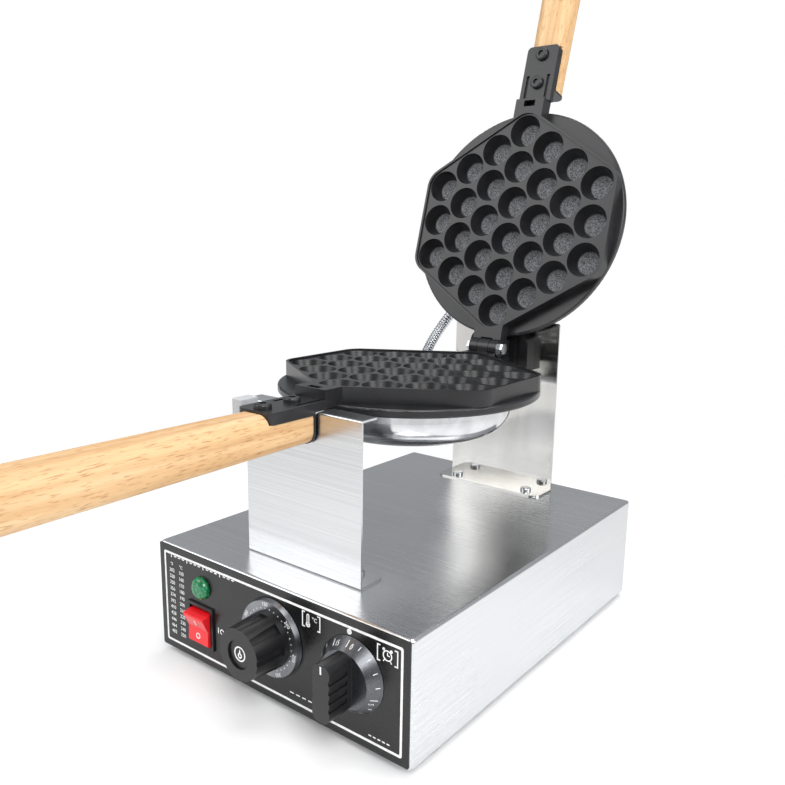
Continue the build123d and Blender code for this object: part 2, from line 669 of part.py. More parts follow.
# Dished cover under each plate
with BuildPart() as cover:
    with BuildSketch(pan_section) as dish:
        for radius, height, turn, mode in (
            (COVER_RADIUS, COVER_HEIGHT, COVER_TURN_RADIUS, Mode.ADD),
            (cover_bore, COVER_HEIGHT - COVER_SHEET, COVER_TURN_RADIUS - COVER_SHEET, Mode.SUBTRACT),
        ):
            with BuildSketch(pan_section, mode=mode) as step:
                with Locations((0, disc_low)):
                    Rectangle(radius, height, align=(Align.MIN, Align.MAX))
                fillet(step.vertices().group_by(Axis.X)[-1].sort_by(Axis.Y)[0], radius=turn)
    revolve(axis=pan_axis)
    for angle in COVER_SCREW_ANGLES:
        with BuildSketch(cover_screw_plane(angle)):
            Circle(COVER_SCREW_RADIUS + FIT_GAP)
        extrude(amount=-2 * COVER_SHEET, mode=Mode.SUBTRACT)
finish(cover.part, "lower_cover")
finish(as_lid(cover.part), "upper_cover")

with BuildPart() as cover_screws:
    for angle in COVER_SCREW_ANGLES:
        with BuildSketch(cover_screw_plane(angle)):
            Circle(COVER_SCREW_HEAD_RADIUS)
        extrude(amount=COVER_SCREW_HEAD)
        with BuildSketch(cover_screw_plane(angle)):
            Circle(COVER_SCREW_RADIUS)
        extrude(amount=-COVER_POST_SIZE)
finish(cover_screws.part, "lower_cover_screws")
finish(as_lid(cover_screws.part), "upper_cover_screws")

# Strap that bolts each grip to its neck
grip_centre = PARTING_Z - GRIP_TOP_DROP - GRIP_HEIGHT / 2
with BuildPart() as strap:
    with BuildSketch(Plane.XY.offset(strap_top)) as bar_plan:
        with Locations((0, STRAP_END)):
            Rectangle(STRAP_WIDTH, STRAP_BRIDGE_END - STRAP_END, align=(Align.CENTER, Align.MIN))
        fillet(bar_plan.vertices().group_by(Axis.Y)[0], radius=STRAP_CORNER)
    extrude(amount=-STRAP_THICKNESS)
    with BuildSketch(Plane.XY.offset(strap_top)):
        with Locations((0, STRAP_BRIDGE_END)):
            Rectangle(STRAP_WIDTH, FRONT_NECK_END - STRAP_BRIDGE_END, align=(Align.CENTER, Align.MIN))
    extrude(amount=-STRAP_BRIDGE_THICKNESS)
    with BuildSketch(front_plane(0, grip_centre, STRAP_BRIDGE_END)):
        RectangleRounded(STRAP_WIDTH, GRIP_HEIGHT + STRAP_WIDTH - GRIP_WIDTH, GRIP_CORNER)
    extrude(amount=STRAP_BRIDGE_END - GRIP_START - FIT_GAP)
    with BuildSketch(front_plane(0, socket_z, FRONT_NECK_END)):
        Rectangle(SOCKET_WIDTH - 2 * FIT_GAP, SOCKET_HEIGHT - 2 * FIT_GAP)
    extrude(amount=FIT_GAP - SOCKET_LENGTH)
    with BuildSketch(Plane.XY.offset(strap_top)):
        with Locations((-STRAP_GROOVE_X, STRAP_GROOVE_END), (STRAP_GROOVE_X, STRAP_GROOVE_END)):
            Rectangle(
                STRAP_GROOVE_WIDTH, FRONT_NECK_END - STRAP_GROOVE_END, align=(Align.CENTER, Align.MIN)
            )
    extrude(amount=-STRAP_GROOVE_DEPTH, mode=Mode.SUBTRACT)
    with BuildSketch(Plane.XY.offset(strap_top)):
        with Locations(*[(0, y) for y in STRAP_BOLTS_Y]):
            Circle(STRAP_BOLT_RADIUS + HOLE_GAP)
    extrude(amount=-STRAP_THICKNESS, mode=Mode.SUBTRACT)
finish(strap.part, "lower_handle_strap")
finish(as_lid(strap.part), "upper_handle_strap")

with BuildPart() as handle_bolts:
    with BuildSketch(Plane.XY.offset(strap_top)):
        with Locations(*[(0, y) for y in STRAP_BOLTS_Y]):
            Circle(STRAP_BOLT_HEAD_RADIUS)
    extrude(amount=STRAP_BOLT_HEAD_HEIGHT)
    fillet(handle_bolts.edges().group_by(Axis.Z)[-1], radius=STRAP_BOLT_HEAD_HEIGHT / 2)
    with BuildSketch(Plane.XY.offset(strap_top + STRAP_BOLT_HEAD_HEIGHT)):
        with Locations(*[(0, y) for y in STRAP_BOLTS_Y]):
            RegularPolygon(STRAP_BOLT_SOCKET / 2, 6, major_radius=False)
    extrude(amount=-STRAP_BOLT_HEAD_HEIGHT / 2, mode=Mode.SUBTRACT)
    with BuildSketch(Plane.XY.offset(strap_top)):
        with Locations(*[(0, y) for y in STRAP_BOLTS_Y]):
            Circle(STRAP_BOLT_RADIUS)
    extrude(amount=-STRAP_BOLT_LENGTH)
finish(handle_bolts.part, "lower_handle_bolts")
finish(as_lid(handle_bolts.part), "upper_handle_bolts")

# Wooden grip, flat where the strap lies on it and thicker towards its end
grip_end_centre = grip_centre - (GRIP_END_HEIGHT - GRIP_HEIGHT) / 4
with BuildPart() as grip:
    with BuildSketch(front_plane(0, grip_centre, GRIP_START)):
        RectangleRounded(GRIP_WIDTH, GRIP_HEIGHT, GRIP_CORNER)
    with BuildSketch(front_plane(0, grip_end_centre, GRIP_START - GRIP_LENGTH)):
        RectangleRounded(GRIP_END_WIDTH, GRIP_END_HEIGHT, GRIP_CORNER * GRIP_END_HEIGHT / GRIP_HEIGHT)
    loft()
    fillet(grip.faces().sort_by(Axis.Y)[0].edges(), radius=GRIP_END_ROUND)
    with BuildSketch(Plane.XY.offset(strap_low)):
        with Locations((0, STRAP_END - SHOULDER_GAP)):
            seat_length = GRIP_START - STRAP_END + 2 * SHOULDER_GAP
            Rectangle(2 * GRIP_WIDTH, seat_length, align=(Align.CENTER, Align.MIN))
    extrude(amount=GRIP_HEIGHT, mode=Mode.SUBTRACT)
    with BuildSketch(Plane.XY.offset(strap_low)):
        with Locations(*[(0, y) for y in STRAP_BOLTS_Y]):
            Circle(STRAP_BOLT_RADIUS + HOLE_GAP)
    extrude(amount=STRAP_THICKNESS - STRAP_BOLT_LENGTH - HOLE_GAP, mode=Mode.SUBTRACT)
finish(grip.part, "lower_handle_grip")
finish(as_lid(grip.part), "upper_handle_grip")

# Pale stop block on the lower strap's left side
with BuildPart() as handle_block:
    with BuildSketch(Plane.XY.offset(strap_low)):
        with Locations((-STRAP_WIDTH / 2, HANDLE_BLOCK_Y)):
            Rectangle(HANDLE_BLOCK_SIZE[0], HANDLE_BLOCK_SIZE[1], align=(Align.MAX, Align.CENTER))
    extrude(amount=HANDLE_BLOCK_SIZE[2])
    fillet(handle_block.edges().group_by(Axis.Z)[-1], radius=HANDLE_BLOCK_EDGE)
finish(handle_block.part, "handle_block")

# Hinge pin with its hexagonal head, and the nut on the other side
pin_face = NECK_WIDTH / 2 + PIN_GAP
with BuildPart() as hinge_pin:
    with BuildSketch(Plane.YZ.offset(pin_face)):
        with Locations((HINGE_Y, HINGE_Z)):
            RegularPolygon(HEX_ACROSS / 2, 6, major_radius=False)
    extrude(amount=HEX_HEAD_LENGTH)
    with BuildSketch(Plane.YZ.offset(pin_face)):
        with Locations((HINGE_Y, HINGE_Z)):
            Circle(PIN_RADIUS)
    extrude(amount=-2 * pin_face - HEX_HEAD_LENGTH)
finish(hinge_pin.part, "hinge_pin")

with BuildPart() as hinge_nut:
    with BuildSketch(Plane.YZ.offset(-pin_face)):
        with Locations((HINGE_Y, HINGE_Z)):
            RegularPolygon(HEX_ACROSS / 2, 6, major_radius=False)
            Circle(PIN_RADIUS, mode=Mode.SUBTRACT)
    extrude(amount=-HEX_HEAD_LENGTH)
finish(hinge_nut.part, "hinge_nut")

# Hollow rear shaft that the iron turns over on, and its round nut
with BuildPart() as pivot_shaft:
    with BuildSketch(front_plane(0, PARTING_Z, SHAFT_END)):
        Circle(SHAFT_RADIUS)
        Circle(SHAFT_BORE_RADIUS, mode=Mode.SUBTRACT)
    extrude(amount=SHAFT_END - STOP_BLOCK_END + SHAFT_SEAT)
finish(pivot_shaft.part, "pivot_shaft")

with BuildPart() as shaft_nut:
    with BuildSketch(front_plane(0, PARTING_Z, REAR_BRACKET_Y + BRACKET_SHEET + SHAFT_NUT_GAP)):
        RegularPolygon(SHAFT_NUT_RADIUS, 6)
        Circle(SHAFT_RADIUS, mode=Mode.SUBTRACT)
    extrude(amount=-SHAFT_NUT_LENGTH)
finish(shaft_nut.part, "shaft_nut")


# Ribbed metal conduit that carries the lid heater's wires
def cover_outlet(angle):
    """Point on the cover's side wall, and the way out of it."""
    out = Vector(math.cos(math.radians(angle)), math.sin(math.radians(angle)), 0)
    return Vector(0, PAN_Y, disc_low - CONDUIT_DROP) + out * COVER_RADIUS, out


def opened_point(point):
    """Where a point of the lower iron goes on the open lid."""
    turn = math.radians(-LID_OPEN_ANGLE)
    dy, dz = point.Y - HINGE_Y, 2 * PARTING_Z - point.Z - HINGE_Z
    return Vector(
        point.X,
        HINGE_Y + dy * math.cos(turn) - dz * math.sin(turn),
        HINGE_Z + dy * math.sin(turn) + dz * math.cos(turn),
    )


def outlet_fitting(angle):
    """Round fitting that holds one end of the conduit, cut to meet the cover's round wall."""
    point, out = cover_outlet(angle)
    with BuildPart() as fitting:
        with BuildSketch(Plane(origin=point - out * FITTING_RADIUS, x_dir=(0, 0, 1), z_dir=out)):
            Circle(FITTING_RADIUS)
        extrude(amount=FITTING_LENGTH + FITTING_RADIUS)
        with BuildSketch(pan_section):
            with Locations((0, disc_low)):
                Rectangle(COVER_RADIUS, COVER_HEIGHT, align=(Align.MIN, Align.MAX))
        revolve(axis=pan_axis, mode=Mode.SUBTRACT)
    return fitting.part


finish(outlet_fitting(CONDUIT_ANGLE_LOW), "lower_conduit_fitting")
finish(as_lid(outlet_fitting(CONDUIT_ANGLE_HIGH)), "upper_conduit_fitting")

low_point, low_out = cover_outlet(CONDUIT_ANGLE_LOW)
high_closed, high_out_closed = cover_outlet(CONDUIT_ANGLE_HIGH)
high_start = opened_point(high_closed + high_out_closed * FITTING_LENGTH)
high_next = opened_point(high_closed + high_out_closed * (FITTING_LENGTH + CONDUIT_LAST_RUN))
route = [
    low_point + low_out * FITTING_LENGTH,
    low_point + low_out * (FITTING_LENGTH + CONDUIT_FIRST_RUN),
    high_next,
    high_start,
]


def bend_radius(before, corner, after):
    """Radius of the arc at one corner of the route: a share of the shorter run beside it."""
    turn = (corner - before).get_angle(after - corner)
    shorter = min((corner - before).length, (after - corner).length)
    return CONDUIT_RADIUS_SHARE * shorter / math.tan(math.radians(turn) / 2)


radii = [bend_radius(*route[i - 1 : i + 2]) for i in range(1, len(route) - 1)]
print("conduit bend radii", [round(radius, 1) for radius in radii])
with BuildLine(mode=Mode.PRIVATE) as conduit_line:
    FilletPolyline(*route, radius=radii)
conduit_path = conduit_line.wires()[0]
rib_count = int(conduit_path.length / CONDUIT_PITCH)
crest = CONDUIT_CREST_SHARE
rib_shape = (
    (0.0, CONDUIT_VALLEY),
    ((1 - crest) / 2 - CONDUIT_SLOPE_SHARE, CONDUIT_VALLEY),
    ((1 - crest) / 2 + CONDUIT_SLOPE_SHARE, CONDUIT_RADIUS),
    ((1 + crest) / 2, CONDUIT_RADIUS),
)
print("conduit length", round(conduit_path.length, 1), "ribs", rib_count)


def conduit_plane(share):
    """Plane square to the path, this share of the way along, on a steady X axis."""
    along = conduit_path.tangent_at(share)
    steady = Vector(*CONDUIT_STEADY)
    across = (steady - along * steady.dot(along)).normalized()
    return Plane(origin=conduit_path.position_at(share), x_dir=across, z_dir=along)


rib_circles = [((rib + along) / rib_count, radius) for rib in range(rib_count) for along, radius in rib_shape]
with BuildPart() as wire_conduit:
    for share, radius in [*rib_circles, (1.0, CONDUIT_VALLEY)]:
        with BuildSketch(conduit_plane(share)):
            Circle(radius)
    loft(ruled=True)
    for step in range(rib_count + 1):
        with BuildSketch(conduit_plane(step / rib_count)):
            Circle(CONDUIT_BORE)
    loft(ruled=True, mode=Mode.SUBTRACT)
finish(wire_conduit.part, "wire_conduit")

# Thermostat: silver dial, fluted knob on its shaft, and the body behind the wall
dial_back = panel_front - CONTROL_GAP
with BuildPart() as thermostat_dial:
    with BuildSketch(front_plane(THERMOSTAT_X, THERMOSTAT_Z, dial_back)):
        Circle(DIAL_RADIUS)
    with BuildSketch(front_plane(THERMOSTAT_X, THERMOSTAT_Z, dial_back - DIAL_THICKNESS)):
        Circle(DIAL_FACE_RADIUS)
    loft()
    with BuildSketch(front_plane(THERMOSTAT_X, THERMOSTAT_Z, dial_back)):
        Circle(SHAFT_ROD_RADIUS + SHAFT_GAP)
    extrude(amount=DIAL_THICKNESS, mode=Mode.SUBTRACT)
finish(thermostat_dial.part, "thermostat_dial")

knob_back = dial_back - DIAL_THICKNESS
with BuildPart() as thermostat_knob:
    with BuildSketch(front_plane(THERMOSTAT_X, THERMOSTAT_Z, knob_back)):
        Circle(KNOB_RADIUS)
    with BuildSketch(front_plane(THERMOSTAT_X, THERMOSTAT_Z, knob_back - KNOB_LENGTH)):
        Circle(KNOB_WAIST_RADIUS)
    loft()
    with BuildSketch(front_plane(THERMOSTAT_X, THERMOSTAT_Z, knob_back - KNOB_COLLAR)):
        with PolarLocations(KNOB_RADIUS + KNOB_FLUTE_RADIUS - KNOB_FLUTE_DEPTH, KNOB_LOBES):
            Circle(KNOB_FLUTE_RADIUS)
    extrude(amount=KNOB_LENGTH, mode=Mode.SUBTRACT)
    with BuildSketch(front_plane(THERMOSTAT_X, THERMOSTAT_Z, knob_back - KNOB_LENGTH)):
        Circle(KNOB_RECESS_RADIUS)
    extrude(amount=-KNOB_RECESS_DEPTH, mode=Mode.SUBTRACT)
    with BuildSketch(front_plane(THERMOSTAT_X, THERMOSTAT_Z, knob_back)):
        Circle(SHAFT_ROD_RADIUS)
    extrude(amount=-DIAL_THICKNESS - CONTROL_GAP - PANEL_THICKNESS - SHAFT_ROD_DEPTH)
finish(thermostat_knob.part, "thermostat_knob")

# Timer: sloping skirt with a ribbed grip bar across it, on its shaft
bar_back = dial_back - SKIRT_THICKNESS
with BuildPart() as timer_knob:
    with BuildSketch(front_plane(TIMER_X, TIMER_Z, dial_back)):
        Circle(SKIRT_RADIUS)
    with BuildSketch(front_plane(TIMER_X, TIMER_Z, bar_back)):
        Circle(SKIRT_FACE_RADIUS)
    loft()
    with BuildSketch(front_plane(TIMER_X, TIMER_Z, bar_back)):
        RectangleRounded(GRIP_BAR_WIDTH, GRIP_BAR_HEIGHT, GRIP_BAR_CORNER)
    extrude(amount=GRIP_BAR_DEPTH)
    with BuildSketch(front_plane(TIMER_X, TIMER_Z, bar_back - GRIP_BAR_DEPTH)):
        with GridLocations(GRIP_BAR_WIDTH, GRIP_BAR_RIB_PITCH, 2, GRIP_BAR_RIBS):
            Rectangle(2 * GRIP_BAR_RIB_DEPTH, GRIP_BAR_RIB_PITCH / 2)
    extrude(amount=-GRIP_BAR_RIB_LENGTH, mode=Mode.SUBTRACT)
    with BuildSketch(front_plane(TIMER_X, TIMER_Z, dial_back)):
        Circle(SHAFT_ROD_RADIUS)
    extrude(amount=-CONTROL_GAP - PANEL_THICKNESS - SHAFT_ROD_DEPTH)
finish(timer_knob.part, "timer_knob")

# Bodies of the thermostat and the timer, each with a bush through the wall
for name, x, z, size in (
    ("thermostat_body", THERMOSTAT_X, THERMOSTAT_Z, THERMOSTAT_BODY),
    ("timer_body", TIMER_X, TIMER_Z, TIMER_BODY),
):
    with BuildPart() as body:
        with BuildSketch(front_plane(x, z, inside_front)):
            Rectangle(size[0], size[2])
        extrude(amount=-size[1])
        with BuildSketch(front_plane(x, z, inside_front)):
            Circle(WALL_HOLE_RADIUS - HOLE_GAP)
        extrude(amount=SHEET + PANEL_THICKNESS)
        with BuildSketch(front_plane(x, z, panel_front)):
            Circle(SHAFT_ROD_RADIUS + SHAFT_GAP)
        extrude(amount=-PANEL_THICKNESS - SHAFT_ROD_DEPTH - CONTROL_GAP, mode=Mode.SUBTRACT)
    finish(body.part, name)

# Rocker switch: bezel and body, and the rocker on its axle with its lower half pressed in
pivot_y = base_front + ROCKER_PIVOT_DEPTH
rocker_swing = math.hypot(ROCKER_REACH, ROCKER_HEIGHT / 2)
cavity_width = ROCKER_WIDTH + 2 * ROCKER_GAP
cavity_height = 2 * rocker_swing * SWING_SHARE
with BuildPart() as switch_housing:
    with BuildSketch(front_plane(SWITCH_X, SWITCH_Z, panel_front)):
        RectangleRounded(BEZEL_WIDTH, BEZEL_HEIGHT, BEZEL_THICKNESS)
    extrude(amount=BEZEL_THICKNESS)
    with BuildSketch(front_plane(SWITCH_X, SWITCH_Z, panel_front)):
        Rectangle(SWITCH_BODY_WIDTH, SWITCH_BODY_HEIGHT)
    extrude(amount=-SWITCH_BODY_DEPTH)
    with BuildSketch(front_plane(SWITCH_X, SWITCH_Z, panel_front - BEZEL_THICKNESS)):
        Rectangle(cavity_width, cavity_height)
    extrude(amount=-SWITCH_CAVITY_DEPTH, mode=Mode.SUBTRACT)
    with BuildSketch(Plane(origin=(SWITCH_X, pivot_y, SWITCH_Z), x_dir=(0, 1, 0), z_dir=(1, 0, 0))):
        Circle(AXLE_RADIUS + PIN_GAP)
    extrude(amount=cavity_width / 2 + AXLE_SEAT, both=True, mode=Mode.SUBTRACT)
finish(switch_housing.part, "switch_housing")

rocker_axis = Axis((SWITCH_X, pivot_y, SWITCH_Z), (1, 0, 0))
with BuildPart() as rocker:
    with BuildSketch(Plane(origin=(SWITCH_X, pivot_y, SWITCH_Z), x_dir=(0, 1, 0), z_dir=(1, 0, 0))):
        with BuildLine():
            Polyline(
                (-ROCKER_REACH, ROCKER_HEIGHT / 2),
                (ROCKER_DIP - ROCKER_REACH, 0),
                (-ROCKER_REACH, -ROCKER_HEIGHT / 2),
                (AXLE_RADIUS, -ROCKER_HEIGHT / 2),
                (2 * AXLE_RADIUS, 0),
                (AXLE_RADIUS, ROCKER_HEIGHT / 2),
                close=True,
            )
        make_face()
    extrude(amount=ROCKER_WIDTH / 2, both=True)
    fillet(rocker.edges().filter_by(Axis.X).group_by(Axis.Y)[0], radius=ROCKER_EDGE)
    with BuildSketch(Plane(origin=(SWITCH_X, pivot_y, SWITCH_Z), x_dir=(0, 1, 0), z_dir=(1, 0, 0))):
        Circle(AXLE_RADIUS)
    extrude(amount=cavity_width / 2 + AXLE_SEAT - PIN_GAP, both=True)
finish(rocker.part.rotate(rocker_axis, ROCKER_TILT), "power_rocker")

# Indicator lamp: domed lens on a round body through the wall
with BuildPart() as indicator_lamp:
    with BuildSketch(front_plane(LAMP_X, LAMP_Z, panel_front)):
        Circle(LAMP_RADIUS)
    extrude(amount=LAMP_DOME)
    fillet(indicator_lamp.edges().group_by(Axis.Y)[0], radius=LAMP_DOME * LAMP_ROUND_SHARE)
    with BuildSketch(front_plane(LAMP_X, LAMP_Z, panel_front)):
        Circle(LAMP_BODY_RADIUS)
    extrude(amount=-LAMP_BODY_LENGTH)
finish(indicator_lamp.part, "indicator_lamp")

# Terminal block on the bottom plate, with its row of wire ways
with BuildPart() as terminal_block:
    terminal_low = base_low + SHEET
    with BuildSketch(Plane.XY.offset(terminal_low)):
        with Locations((0, TERMINAL_Y)):
            Rectangle(TERMINAL_SIZE[0], TERMINAL_SIZE[1])
    extrude(amount=TERMINAL_SIZE[2])
    with BuildSketch(front_plane(0, terminal_low + TERMINAL_SIZE[2] / 2, TERMINAL_Y - TERMINAL_SIZE[1] / 2)):
        with GridLocations(TERMINAL_SIZE[0] / TERMINAL_WAYS, 0, TERMINAL_WAYS, 1):
            Rectangle(TERMINAL_SIZE[0] / TERMINAL_WAYS / 2, TERMINAL_SIZE[2] / 2)
    extrude(amount=-TERMINAL_SIZE[1], mode=Mode.SUBTRACT)
finish(terminal_block.part, "terminal_block")

# Gland for the mains cable, through the back wall
with BuildPart() as cable_gland:
    with BuildSketch(front_plane(GLAND_X, GLAND_Z, base_back)):
        Circle(GLAND_FLANGE_RADIUS)
    extrude(amount=-GLAND_FLANGE)
    with BuildSketch(front_plane(GLAND_X, GLAND_Z, base_back)):
        Circle(GLAND_RADIUS)
    extrude(amount=GLAND_LENGTH)
    with BuildSketch(front_plane(GLAND_X, GLAND_Z, base_back - GLAND_LENGTH)):
        Circle(GLAND_BORE)
    extrude(amount=-GLAND_LENGTH - GLAND_FLANGE, mode=Mode.SUBTRACT)
finish(cable_gland.part, "cable_gland")

# Move everything so that the origin is at the bottom centre of the whole box, and write the files
boxes = [piece.bounding_box() for piece in finished.values()]
origin_y = (min(box.min.Y for box in boxes) + max(box.max.Y for box in boxes)) / 2
print("origin moved along Y by", round(origin_y, 4))
for name, piece in finished.items():
    moved = Location((0, -origin_y, 0)) * piece
    moved.label = name
    export_step(moved, f"parts/{name}.step")
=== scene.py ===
"""Looks of a tabletop bubble waffle maker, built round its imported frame. Metres, front towards -Y."""

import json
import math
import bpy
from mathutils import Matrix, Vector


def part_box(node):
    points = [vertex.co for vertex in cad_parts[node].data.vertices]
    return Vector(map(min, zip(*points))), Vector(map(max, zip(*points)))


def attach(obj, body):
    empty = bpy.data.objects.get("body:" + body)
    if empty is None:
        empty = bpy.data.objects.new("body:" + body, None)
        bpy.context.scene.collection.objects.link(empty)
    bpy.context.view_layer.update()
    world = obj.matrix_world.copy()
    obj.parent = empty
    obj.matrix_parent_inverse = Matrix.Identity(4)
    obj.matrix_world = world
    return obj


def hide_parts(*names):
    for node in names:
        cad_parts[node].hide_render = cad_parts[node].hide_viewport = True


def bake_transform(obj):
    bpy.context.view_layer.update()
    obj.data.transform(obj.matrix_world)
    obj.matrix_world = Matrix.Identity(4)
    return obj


bl_info = {
    "name": "Bubble waffle maker",
    "version": (1, 0, 0),
    "blender": (4, 5, 0),
    "location": "3D View > Sidebar > Waffle",
    "description": "Dresses the waffle maker's frame with its finishes, printed marks and conduit",
    "category": "Object",
}

import bmesh
import bpy
from mathutils import Matrix, Vector

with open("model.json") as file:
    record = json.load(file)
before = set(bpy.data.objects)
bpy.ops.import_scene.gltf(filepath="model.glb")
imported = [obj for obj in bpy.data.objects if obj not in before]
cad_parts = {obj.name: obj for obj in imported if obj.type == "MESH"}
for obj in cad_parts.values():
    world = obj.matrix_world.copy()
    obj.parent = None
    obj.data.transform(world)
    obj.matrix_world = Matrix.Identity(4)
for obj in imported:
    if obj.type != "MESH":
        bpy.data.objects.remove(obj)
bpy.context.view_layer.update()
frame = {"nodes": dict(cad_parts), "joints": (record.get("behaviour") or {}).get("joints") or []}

MM = 0.001


def middle(node, axis):
    """Middle of one node's box along one axis."""
    low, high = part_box(node)
    return (low[axis] + high[axis]) / 2


def joint_named(name):
    """One joint of the frame."""
    return next(joint for joint in frame["joints"] if joint["name"] == name)


# Driving places, read from the frame
BASE_Y = middle("base_housing", 1)
PAN_Y = middle("lower_cover", 1)
PANEL_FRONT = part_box("control_panel")[0][1]
PARTING_Z = joint_named("iron_flip")["pos_m"][2]

# Angle between the open lid and the closed one, where the faces would meet
LID_OPEN = math.radians(105.65)

# Depth of the cup floors under the parting, reach of the mould, and depth of the timer's skirt
CUP_FLOOR = 15.1 * MM
MOULD_REACH = 98 * MM
SKIRT_DEPTH = 8.9 * MM

# The conduit's route as the source has it: straight out of each cover's fitting, and round over the back
CONDUIT_ROUTE = [
    (-0.0498, BASE_Y + 0.0638, 0.1885),
    (-0.0744, BASE_Y + 0.1003, 0.1885),
    (-0.0752, BASE_Y + 0.1351, 0.2288),
    (-0.0536, BASE_Y + 0.1428, 0.2565),
]


def linear(hex_colour):
    """An sRGB hex colour as linear RGBA."""
    parts = [int(hex_colour[i : i + 2], 16) / 255 for i in (1, 3, 5)]
    return (*[c / 12.92 if c <= 0.04045 else ((c + 0.055) / 1.055) ** 2.4 for c in parts], 1.0)


def add_node(tree, kind, settings=None, **inputs):
    """Add one node with its settings; each input is a value or another node's output socket."""
    node = tree.nodes.new(kind)
    for name, value in (settings or {}).items():
        setattr(node, name, value)
    for name, value in inputs.items():
        key = int(name[1:]) if name[0] == "i" and name[1:].isdigit() else name.replace("_", " ")
        socket = node.inputs[key]
        if isinstance(value, bpy.types.NodeSocket):
            tree.links.new(value, socket)
        else:
            socket.default_value = value
    return node


class WaffleSizes(bpy.types.PropertyGroup):
    """Sizes of the printed marks and the small details."""

    border_inset: bpy.props.FloatProperty(
        name="Border inset",
        description="From the panel's edge to its white line",
        default=0.0052,
        unit="LENGTH",
    )
    border_width: bpy.props.FloatProperty(
        name="Border width",
        description="Width of the panel's white line",
        default=0.0017,
        unit="LENGTH",
    )
    ink_depth: bpy.props.FloatProperty(
        name="Ink depth",
        description="How far printed marks stand proud",
        default=0.00012,
        unit="LENGTH",
    )
    dial_marks: bpy.props.IntProperty(
        name="Dial marks",
        description="Dots round the thermostat's dial",
        default=26,
        min=2,
    )
    conduit_radius: bpy.props.FloatProperty(
        name="Conduit radius",
        description="Outer radius of the ribbed conduit",
        default=0.005,
        unit="LENGTH",
    )
    conduit_pitch: bpy.props.FloatProperty(
        name="Conduit pitch",
        description="Distance from rib to rib",
        default=0.0028,
        unit="LENGTH",
    )


class WaffleColours(bpy.types.PropertyGroup):
    """Colours that a user would change."""

    wood: bpy.props.StringProperty(name="Wood", description="Pale beech, sRGB hex", default="#DFBE92")
    coating: bpy.props.StringProperty(name="Coating", description="Coating, sRGB hex", default="#161617")
    panel: bpy.props.StringProperty(name="Panel", description="Panel film, sRGB hex", default="#0D0D0E")
    rocker: bpy.props.StringProperty(name="Rocker", description="Rocker's red, sRGB hex", default="#E8141E")
    lamp: bpy.props.StringProperty(name="Lamp", description="Lamp's green, sRGB hex", default="#0E6A3C")


def new_material(name):
    """Empty node material with its surface shader; returns the material, tree and shader."""
    material = bpy.data.materials.new(name)
    material.use_nodes = True
    tree = material.node_tree
    shader = tree.nodes["Principled BSDF"]
    return material, tree, shader


def set_shader(shader, **values):
    """Set plain values on the surface shader's own sockets."""
    for name, value in values.items():
        shader.inputs[name.replace("_", " ")].default_value = value


def mapped(tree, place, **settings):
    """A place scaled, turned or moved."""
    return add_node(tree, "ShaderNodeMapping", Vector=place, **settings).outputs[0]


def object_coordinates(tree, scale=(1, 1, 1), place=(0, 0, 0)):
    """Object coordinates, scaled per metre."""
    coordinates = add_node(tree, "ShaderNodeTexCoord")
    return mapped(tree, coordinates.outputs["Object"], Scale=scale, Location=place)


def noise(tree, place, scale=1.0, detail=3.0, roughness=0.5):
    """Noise from 0 to 1; its scale is in features per metre."""
    settings = {"Scale": scale, "Detail": detail, "Roughness": roughness}
    return add_node(tree, "ShaderNodeTexNoise", Vector=place, **settings).outputs["Fac"]


def maths(tree, operation, *values):
    """Result of one maths node on plain values or sockets."""
    inputs = {f"i{i}": value for i, value in enumerate(values)}
    return add_node(tree, "ShaderNodeMath", {"operation": operation}, **inputs).outputs[0]


def mixed_colour(tree, factor, first, second, blend="MIX"):
    """Two colours mixed by a factor."""
    node = add_node(tree, "ShaderNodeMix", {"data_type": "RGBA", "blend_type": blend}, Factor=factor)
    tree.links.new(first, node.inputs["A"])
    tree.links.new(second, node.inputs["B"])
    return node.outputs["Result"]


def ramp_between(tree, factor, low, high, start=0.0, end=1.0):
    """Colour ramp from one hex colour to another."""
    node = add_node(tree, "ShaderNodeValToRGB", Fac=factor)
    node.color_ramp.elements[0].position = start
    node.color_ramp.elements[0].color = linear(low)
    node.color_ramp.elements[1].position = end
    node.color_ramp.elements[1].color = linear(high)
    return node.outputs["Color"]


def grey_range(tree, factor, low, high):
    """Factor from 0 to 1 turned into a value from low to high."""
    return add_node(tree, "ShaderNodeMapRange", Value=factor, To_Min=low, To_Max=high).outputs["Result"]


def bump_from(tree, shader, height, depth_mm, strength=0.5):
    """Bump of one real depth in millimetres."""
    node = add_node(tree, "ShaderNodeBump", Height=height, Strength=strength, Distance=depth_mm * MM)
    tree.links.new(node.outputs["Normal"], shader.inputs["Normal"])


def brushed_grain(tree):
    """Fine grain along X, and along Y on the faces that look sideways."""
    along_x = noise(tree, object_coordinates(tree, (5, 1300, 1300)))
    along_y = noise(tree, object_coordinates(tree, (1300, 5, 1300)))
    facing = add_node(tree, "ShaderNodeTexCoord").outputs["Normal"]
    parts = add_node(tree, "ShaderNodeSeparateXYZ", Vector=facing)
    sideways = maths(tree, "GREATER_THAN", maths(tree, "ABSOLUTE", parts.outputs["X"]), 0.7)
    return add_node(tree, "ShaderNodeMix", Factor=sideways, A=along_x, B=along_y).outputs[0]


